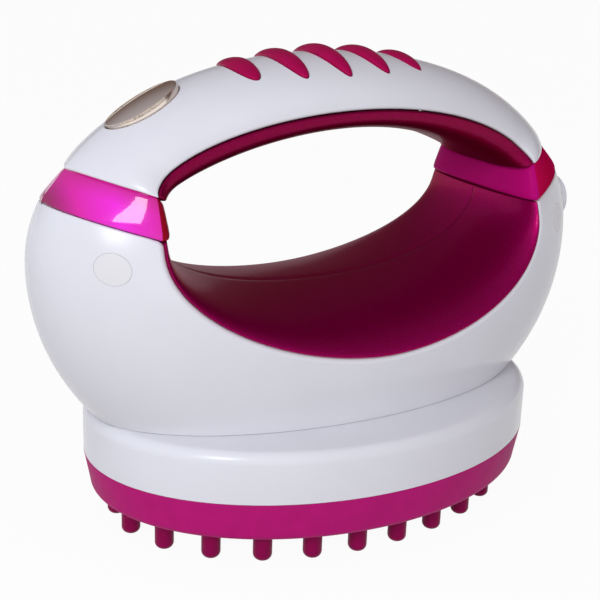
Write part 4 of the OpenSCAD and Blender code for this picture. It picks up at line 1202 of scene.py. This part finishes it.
def nubs():
    a = around(24)
    profile = nub_profile()
    verts, faces = [], []
    for x, y in nub_places():
        base = len(verts)
        verts.append((x, y, 0.0))
        for r, z in profile:
            verts += [(x + r * c, y + r * s, z) for c, s in zip(cos(a), sin(a))]
        n = len(a)
        for i in range(n):
            faces.append((base, base + 1 + (i + 1) % n, base + 1 + i))
            for j in range(len(profile) - 1):
                p, q = base + 1 + j * n, base + 1 + (j + 1) * n
                faces.append((p + i, p + (i + 1) % n, q + (i + 1) % n, q + i))
        top = base + 1 + (len(profile) - 1) * n
        faces.append(tuple(top + i for i in range(n)))
    return finish_mesh("nubs_piece", verts, faces, sharp=60)


place(wear(nubs(), NUBS_SHADED), "casing", "magenta_rubber", "massage_nubs")


# Power inlet
INLET_X = float(half_length(np.array(INLET_Z))) + INLET_PROUD
COLLAR_BACK, COLLAR_LIP, COLLAR_R, BORE_R, TURN_SHARP = 9.0, 1.2, 1.2, 0.4, 50


def turned_x(name, profile, turns=96):
    """Ring turned about the inlet's axis from a profile of lengths and radii."""
    a = around(turns)
    rows = [points(x, r * cos(a), INLET_Z + r * sin(a)) for x, r in profile]
    return loft(name, rows, close_cols=True, close_rows=True, sharp=TURN_SHARP)


ir, back = INLET_D / 2, INLET_X - COLLAR_BACK
bore = SOCKET_D / 2 + 1 + GAP / 2
collar_profile = [(back, bore), (back, ir + COLLAR_LIP), (back + 1, ir + COLLAR_LIP),
                  (back + 1, ir), (INLET_X - COLLAR_R, ir)]
for f in range(10, 91, 10):
    collar_profile.append((INLET_X - COLLAR_R * (1 - sin(f)), ir - COLLAR_R * (1 - cos(f))))
collar_profile += [(INLET_X, bore + BORE_R)]
for f in range(30, 91, 30):
    collar_profile.append((INLET_X - BORE_R * (1 - cos(f)), bore + BORE_R * (1 - sin(f))))
collar = wear(turned_x("inlet_piece", collar_profile), WHITE)
place(collar, "casing", "white_plastic", "inlet_collar")


# Studio: a white floor, a soft surround, a window-like lamp and a soft one in front
FLOOR_GLOW, FLOOR_SEEN, FLOOR_SHED = 0.95, (0.95, 0.95, 0.95), (0.50, 0.49, 0.48)
FLOOR_SIZE = 30.0
# The surround's colours towards the window and away from it, low down and high up
COOL, WARM_LOW, WARM_HIGH = (0.70, 0.73, 0.83), (0.18, 0.125, 0.11), (0.16, 0.115, 0.10)
PALE_EDGE, LOW_TO_HIGH, COOL_TO_WARM = (0.05, 0.09), (0.1, 0.75), (-0.6, 0.6)


def seen_directly(tree):
    """1 for rays from the camera and for mirrored or refracted ones, 0 for the light it sheds."""
    path = node(tree, "ShaderNodeLightPath")
    total = path.outputs["Is Camera Ray"]
    for kind in ("Is Glossy Ray", "Is Transmission Ray"):
        total = compute(tree, "ADD", total, path.outputs[kind], use_clamp=True)
    return total


def stage_material():
    m, t, b = material("stage_white", Roughness=0.9)
    b.inputs["Specular IOR Level"].default_value = 0.1
    seen = seen_directly(t)
    t.links.new(ramp(t, seen, [(0.0, FLOOR_SHED), (1.0, FLOOR_SEEN)]), b.inputs["Base Color"])
    glow = node(t, "ShaderNodeEmission")
    glow.inputs["Color"].default_value = (1, 1, 1, 1)
    glow.inputs["Strength"].default_value = 1.0
    share = compute(t, "MULTIPLY", seen, FLOOR_GLOW)
    blend = node(t, "ShaderNodeMixShader")
    t.links.new(share, blend.inputs[0])
    t.links.new(b.outputs[0], blend.inputs[1])
    t.links.new(glow.outputs[0], blend.inputs[2])
    t.links.new(blend.outputs[0], t.nodes["Material Output"].inputs["Surface"])
    return m


me = bpy.data.meshes.new("floor")
corners = [(x * FLOOR_SIZE, y * FLOOR_SIZE, 0) for x, y in ((-1, -1), (1, -1), (1, 1), (-1, 1))]
me.from_pydata(corners, [], [(0, 1, 2, 3)])
floor = bpy.data.objects.new("floor", me)
bpy.context.scene.collection.objects.link(floor)
wear(floor, stage_material())


def surround():
    """Sky that is white at the horizon and cool at the window's side, dim and warm at the other."""
    world = bpy.data.worlds.new("world")
    bpy.context.scene.world = world
    world.use_nodes = True
    t = world.node_tree
    way = node(t, "ShaderNodeTexCoord").outputs["Generated"]
    sep = node(t, "ShaderNodeSeparateXYZ")
    t.links.new(way, sep.inputs["Vector"])
    high = spread(t, sep.outputs["Z"], *LOW_TO_HIGH)
    side = node(t, "ShaderNodeVectorMath", operation="DOT_PRODUCT")
    side.inputs[1].default_value = (0.86, 0.5, 0.0)
    t.links.new(way, side.inputs[0])
    warm = spread(t, side.outputs["Value"], *COOL_TO_WARM)
    layers = [ramp(t, warm, [(0.0, COOL), (1.0, color)]) for color in (WARM_LOW, WARM_HIGH)]
    mixer = node(t, "ShaderNodeMix", data_type="RGBA")
    t.links.new(high, mixer.inputs["Factor"])
    t.links.new(layers[0], mixer.inputs[6])
    t.links.new(layers[1], mixer.inputs[7])
    edge = node(t, "ShaderNodeMix", data_type="RGBA")
    t.links.new(spread(t, sep.outputs["Z"], *PALE_EDGE), edge.inputs["Factor"])
    edge.inputs[6].default_value = (*FLOOR_SEEN, 1)
    t.links.new(mixer.outputs[2], edge.inputs[7])
    t.links.new(edge.outputs[2], t.nodes["Background"].inputs["Color"])


surround()


def lamp(name, place_at, aim, size, watts, color=(1, 1, 1), size_y=None):
    d = bpy.data.lights.new(name, "AREA")
    d.energy = watts
    d.color = color
    d.size = size
    if size_y is not None:
        d.shape = "RECTANGLE"
        d.size_y = size_y
    o = bpy.data.objects.new(name, d)
    z = unit(np.array(place_at, float) - np.array(aim, float))
    x = unit(np.cross((0, 0, 1.0), z))
    o.matrix_world = standing(x, np.cross(z, x), z, place_at)
    bpy.context.scene.collection.objects.link(o)
    return o


KEY_WAY = np.array([-0.60, -0.58, 0.55])
lamp("window", KEY_WAY, (0, 0, 0.08), 0.21, 2.7, (0.95, 0.975, 1.0), 0.30)
# the soft lamp isn't mirrored in the gloss
soft = lamp("front", (-0.42, -0.88, 0.14), (0, 0, 0.05), 0.4, 1.6, (1.0, 0.985, 0.99))
soft.visible_glossy = False
